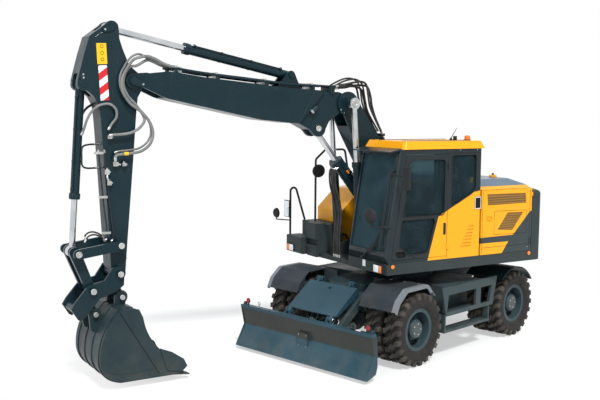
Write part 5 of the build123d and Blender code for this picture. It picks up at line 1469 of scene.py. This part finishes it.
for x, z in ((1.660, 3.842), (2.420, 3.888), (3.170, 3.952), (3.700, 4.010)):
    block(bm, (x - 0.016, -0.226, z - 0.006), (x + 0.016, 0.026, z + 0.094), 0.004)
piece("pipe_clamps", bm, "upper_boom", "rod_chrome", plated, turn=parked)
for name, path in (
    ("arm_pipe_rear", [(4.846, 3.030), (4.790, 2.392), (4.744, 1.940), (4.780, 1.880)]),
    ("arm_pipe_front", [(4.768, 3.030), (4.711, 2.388), (4.665, 1.930), (4.700, 1.860)]),
):
    run_hose(name, [(x, 0.068, z) for x, z in path], 0.011, 0.0, black_pipes, "arm", step=0.02)
for number, lift in enumerate((0.0, 0.034)):
    run_hose(
        f"rocker_hose_{number}",
        [
            (x - lift * 0.4, 0.075 + 0.022 * number, z - lift)
            for x, z in ((4.793, 1.905), (4.845, 1.960), (4.936, 1.995), (5.014, 1.975), (5.060, 1.905))
        ],
        0.011, 0.0, hose_black, "arm", step=0.010,
    )

bm = bmesh.new()
for x, z, wide, high in (
    (4.701, 3.189, 0.060, 0.046), (4.630, 2.846, 0.070, 0.056), (4.517, 2.838, 0.052, 0.044),
    (4.736, 2.747, 0.046, 0.064), (4.712, 2.606, 0.050, 0.056),
):
    block(bm, (x - wide / 2, 0.050, z - high / 2), (x + wide / 2, 0.105, z + high / 2), 0.004)
    turned(
        bm, (x, 0.104, z), (0, 1, 0),
        [(0, 0), (0, 0.018), (0.014, 0.018), (0.016, 0.011), (0.030, 0.011), (0.030, 0)], 6,
    )
    turned(
        bm, (x, 0.078, z + high / 2 - 0.002), (0, 0, 1),
        [(0, 0), (0, 0.016), (0.018, 0.016), (0.022, 0.011), (0.022, 0)], 6,
    )
    turned(
        bm, (x - wide / 2 + 0.002, 0.078, z), (-1, 0, 0),
        [(0, 0), (0, 0.013), (0.020, 0.013), (0.022, 0.009), (0.022, 0)], 6,
    )
for z in (2.990, 2.430, 1.970):
    lean = (z - 1.97) * 0.08
    block(bm, (4.700 + lean, 0.050, z - 0.016), (4.810 + lean, 0.086, z + 0.016), 0.003)
piece("arm_valves", bm, "arm", "rod_chrome", plated, turn=parked)
run_hose(
    "arm_valve_link",
    [(4.736, 0.085, 2.715), (4.742, 0.100, 2.680), (4.728, 0.100, 2.640), (4.714, 0.085, 2.630)],
    0.010, 0.0, plated, "arm", step=0.006,
)
run_hose(
    "valve_to_valve", [(4.560, 0.080, 2.838), (4.600, 0.080, 2.842)], 0.012, 0.0, plated, "arm", step=0.006,
)
run_hose(
    "tie_rail",
    [
        (4.770, -0.180, 3.090), (4.900, -0.180, 3.085), (4.972, -0.180, 3.050), (4.982, -0.180, 2.930),
        (4.975, -0.180, 2.820), (4.910, -0.180, 2.785), (4.755, -0.180, 2.790),
    ],
    0.012, 0.0, black_pipes, "arm",
)

# Label and warning stripes on the arm head, tags on the hoses
# Printed film on the painted steel; each tag is a short coloured sleeve round its hose.
stripe_red = (0.60, 0.020, 0.022)


def stripes(nodes, links, coordinates):
    """Slanting red bands on white"""
    x, _, z = upper_axes(nodes, links, coordinates)
    rise, run = worked(nodes, links, "MULTIPLY", z, 0.80), worked(nodes, links, "MULTIPLY", x, 0.60)
    bands = worked(nodes, links, "DIVIDE", worked(nodes, links, "ADD", rise, run), 0.150)
    red = worked(nodes, links, "LESS_THAN", worked(nodes, links, "FRACT", bands, 0), 0.52)
    return mixed(nodes, links, red, (0.80, 0.80, 0.78), stripe_red)


warning = paint("warning stripes", stripe_red, rough=0.4, dust=0.05, coat=0.2, pattern=stripes)
arm_near_face = 0.0502
bm = bmesh.new()
strip(bm, [(4.783, arm_near_face, 4.358), (4.770, arm_near_face, 4.100)], 0.128, (0, 1, 0), 0.0010)
for z in (4.318, 4.238, 4.158):
    ring_middle = (4.779 - (4.358 - z) * 0.05, 0.0514, z)
    turned(
        bm, ring_middle, (0, 1, 0), [(0, 0.016), (0, 0.022), (0.0006, 0.022), (0.0006, 0.016), (0, 0.016)],
        24, slot=1,
    )
piece("arm_label", bm, "arm", "trim", label_yellow, seam_black_and_painted_shade, turn=parked)
bm = bmesh.new()
strip(bm, [(4.770, arm_near_face, 4.085), (4.744, arm_near_face, 3.648)], 0.112, (0, 1, 0), 0.0010)
piece("arm_stripes", bm, "arm", "trim", warning, turn=parked)
tag_orange = paint("hose tag", (0.80, 0.24, 0.015), rough=0.5, dust=0.1, coat=0.0)
bm = bmesh.new()
turned(
    bm, (4.475, 0.130, 2.978), (1, 0, -0.03),
    [(0, 0.0212), (0, 0.0225), (0.055, 0.0225), (0.055, 0.0212), (0, 0.0212)], 16,
)
piece("hose_tag", bm, "arm", "trim", label_yellow, turn=parked)

# Hoses round the elbow and down the lower boom to the deck
# Black rubber over steel wire, held to the boom by painted clamps and screwed into two manifolds.
elbow_loops = {
    # name: how far out from the boom's middle, radius, points (x, z)
    "elbow_hose_1": (
        0.190, 0.016,
        [
            (1.300, 3.892), (1.131, 3.930), (0.981, 3.960), (0.840, 3.975), (0.752, 3.930), (0.715, 3.783),
            (0.676, 3.605), (0.575, 3.420), (0.440, 3.200),
        ],
    ),
    "elbow_hose_2": (
        0.145, 0.016,
        [
            (1.290, 3.876), (1.110, 3.885), (0.970, 3.915), (0.819, 3.925), (0.700, 3.900), (0.640, 3.770),
            (0.610, 3.620), (0.540, 3.440), (0.420, 3.220),
        ],
    ),
    "elbow_hose_3": (
        0.095, 0.013,
        [
            (1.300, 3.884), (1.140, 3.960), (1.010, 4.000), (0.885, 4.012), (0.795, 3.975), (0.745, 3.900),
            (0.700, 3.700), (0.640, 3.520), (0.450, 3.245),
        ],
    ),
    "elbow_hose_4": (
        0.040, 0.016,
        [
            (1.290, 3.868), (1.140, 3.880), (1.000, 3.905), (0.850, 3.905), (0.735, 3.860), (0.690, 3.730),
            (0.650, 3.590), (0.560, 3.400), (0.430, 3.200),
        ],
    ),
    "elbow_hose_5": (
        -0.030, 0.013,
        [
            (1.300, 3.892), (1.140, 3.970), (1.000, 4.020), (0.860, 4.026), (0.760, 3.975), (0.705, 3.860),
            (0.665, 3.660), (0.570, 3.450), (0.430, 3.225),
        ],
    ),
    "elbow_hose_6": (
        -0.110, 0.016,
        [
            (1.290, 3.876), (1.130, 3.910), (0.985, 3.935), (0.835, 3.938), (0.730, 3.900), (0.680, 3.740),
            (0.640, 3.580), (0.550, 3.390), (0.425, 3.200),
        ],
    ),
}
down_lines = [
    (0.415, 3.175), (0.300, 2.990), (0.130, 2.680), (0.020, 2.400), (-0.070, 2.120), (-0.120, 1.880),
    (-0.160, 1.640), (-0.190, 1.480),
]
for number, (name, (out, radius, path)) in enumerate(elbow_loops.items()):
    y = boom_middle + out
    run_hose(
        name, [(x, y, z) for x, z in path], radius, 0.0, hose_black,
        "lower_boom", "upper_boom",
    )
    low_y = boom_middle + out * 0.8
    run_hose(
        f"down_line_{number + 1}", [(x, low_y, z) for x, z in down_lines], radius, 0.0, hose_black,
        "upper", "lower_boom", 0.014,
    )
bm = bmesh.new()
for x, z in ((0.432, 3.190), (0.215, 2.830), (0.070, 2.520)):
    block(
        bm, (x - 0.045, boom_middle - 0.135, z - 0.020), (x + 0.020, boom_middle + 0.190, z + 0.020), 0.005,
    )
piece("hose_clamps", bm, "lower_boom", "grey_paint", chassis_paint, turn=parked)
bm = bmesh.new()
block(bm, (-0.250, boom_middle - 0.150, 1.435), (-0.110, boom_middle + 0.180, 1.485), 0.008)
piece("hose_manifold", bm, "upper", "grey_paint", chassis_paint, turn=parked)
bm = bmesh.new()
for x in (1.300, 1.340):
    block(bm, (x - 0.014, boom_middle - 0.125, 3.780), (x + 0.014, boom_middle + 0.155, 3.915), 0.004)
piece("boom_manifold", bm, "upper_boom", "grey_paint", chassis_paint, turn=parked)

# Cylinders
# Barrels in boom paint with a gland ring; rods in hard chrome; steel oil lines strapped along the
# barrels, and hoses that feed them from the deck.
finish(boom_paint, "lift_barrel", "adjust_barrel", "arm_barrel", "bucket_barrel", "blade_barrel")
chrome = bare_metal("hard chrome", (0.66, 0.68, 0.70), (0.50, 0.53, 0.55), 0.17)
finish(chrome, "lift_rod", "adjust_rod", "arm_rod", "bucket_rod", "blade_rod")
lift_out = 0.305
cylinders = {
    # barrel: foot (x, z), rod end (x, z), how far out from the boom's middle, barrel length, tube radius
    "arm_barrel": ((2.000, 4.040), (4.641, 4.557), (0.0,), 1.640, 0.065),
    "bucket_barrel": ((5.010, 3.845), (5.155, 1.736), (0.0,), 1.446, 0.058),
    "adjust_barrel": ((0.600, 2.130), (1.541, 3.285), (0.0,), 0.878, 0.085),
    "lift_barrel": ((0.880, 1.450), (1.050, 3.652), (-lift_out, lift_out), 1.350, 0.062),
}
side_way = Vector((0, 1, 0))
for name, (foot, tip, places, length, radius) in cylinders.items():
    run = Vector((tip[0] - foot[0], 0, tip[1] - foot[1])).normalized()
    bm = bmesh.new()
    for place in places:
        start = Vector((foot[0], boom_middle + place, foot[1]))
        gland = start + run * (length - 0.075)
        turned(
            bm, gland, run,
            [
                (0, radius - 0.004), (0, radius + 0.010), (0.006, radius + 0.013), (0.056, radius + 0.013),
                (0.062, radius + 0.010), (0.062, radius - 0.004), (0, radius - 0.004),
            ],
            32,
        )
        out = math.copysign(1, place) * side_way + run.cross(side_way)
        offset = out.normalized() * (radius + 0.016)
        foot_port, head_port = start + run * 0.16 + offset, start + run * (length - 0.13) + offset
        line_length = (head_port - foot_port).length + 0.04
        turned(bm, foot_port - run * 0.02, run, capped(line_length, 0.0095, 0.002), 12)
        for port in (foot_port, head_port):
            turned(
                bm, port - offset * 0.22, offset,
                [(0, 0), (0, 0.022), (0.030, 0.022), (0.034, 0.016), (0.034, 0)], 12,
            )
        for along in (0.38, 0.66):
            band = start + run * (length * along)
            turned(
                bm, band, run,
                [
                    (0, radius - 0.002), (0, radius + 0.003), (0.026, radius + 0.003),
                    (0.026, radius - 0.002), (0, radius - 0.002),
                ],
                32,
            )
            turned(bm, band + offset - run * 0.004, run, capped(0.034, 0.016, 0.003), 12)
    piece(f"{name}_lines", bm, name, "grey_paint", boom_paint, turn=parked)

for side, name in ((1, "left"), (-1, "right")):
    lift_y = boom_middle + side * lift_out
    run_hose(
        f"lift_hose_{name}",
        [
            (0.62, lift_y + side * 0.02, 1.345), (0.64, lift_y + side * 0.03, 1.50),
            (0.70, lift_y + side * 0.055, 1.60), (0.77, lift_y + side * 0.068, 1.63),
            (0.828, lift_y + side * 0.067, 1.615),
        ],
        0.013, 0.0, hose_black, "upper", "lift_barrel",
    )
gland_hoses = [
    (1.165, 2.700), (1.214, 2.640), (1.205, 2.440), (1.135, 2.215), (1.100, 2.000), (1.112, 1.815),
    (1.125, 1.600), (1.115, 1.350),
]
for number, y in enumerate((-0.015, -0.060, -0.105, -0.150)):
    run_hose(
        f"adjust_hose_{number + 1}", [(x + 0.008 * (number % 2), y, z) for x, z in gland_hoses],
        0.015, 0.0, hose_black, "upper", "lower_boom", 0.014,
    )
bm = bmesh.new()
for x, z in ((0.760, 2.330), (0.985, 2.620)):
    turned(
        bm, (x, boom_middle + 0.100, z), (0.63, 0, 0.77),
        [(0, 0.011), (0, 0.0145), (0.050, 0.0145), (0.050, 0.011), (0, 0.011)], 14,
    )
piece("ram_tags", bm, "adjust_barrel", "trim", tag_orange, turn=parked)

# Bucket
# Wear plate worn through to steel on its floor and lip, with weld beads down the side plates.


def bucket_wear(nodes, links, coordinates):
    """Paint above, scraped to dull steel below and at the teeth"""
    low = stretched(nodes, links, axes(nodes, links, coordinates)[2], 0.02, 0.34, 0.75, 0.06)
    worn = cloud(nodes, links, coordinates, 6.0, 10, 0.35, 0.60)
    scraped = worked(nodes, links, "MULTIPLY", low, worn)
    return mixed(nodes, links, scraped, (0.014, 0.029, 0.035), (0.048, 0.049, 0.046))


bucket_paint = paint(
    "bucket paint", (0.018, 0.033, 0.040), rough=0.36, dust_top=1.4, dust=0.10, coat=0.06,
    pattern=bucket_wear,
)
finish(bucket_paint, "bucket")
bucket_half = 0.5102
heel_weld = [
    (4.929, 0.296), (4.850, 0.245), (4.770, 0.211), (4.660, 0.196), (4.551, 0.194), (4.264, 0.221),
]
for side, name in ((1, "left"), (-1, "right")):
    face = boom_middle + side * bucket_half
    bm = bmesh.new()
    bead(bm, [(x, face, z) for x, z in heel_weld], 0.0065)
    piece(f"bucket_welds_{name}", bm, "bucket", "grey_paint", weld_paint_with_highlight, turn=parked)
    bm = bmesh.new()
    strip(bm, [(4.716, face, 1.004), (4.190, face, 0.140)], 0.012, (0, side, 0), 0.0012)
    piece(f"bucket_lap_{name}", bm, "bucket", "black_paint", seam_black_and_painted_shade, turn=parked)
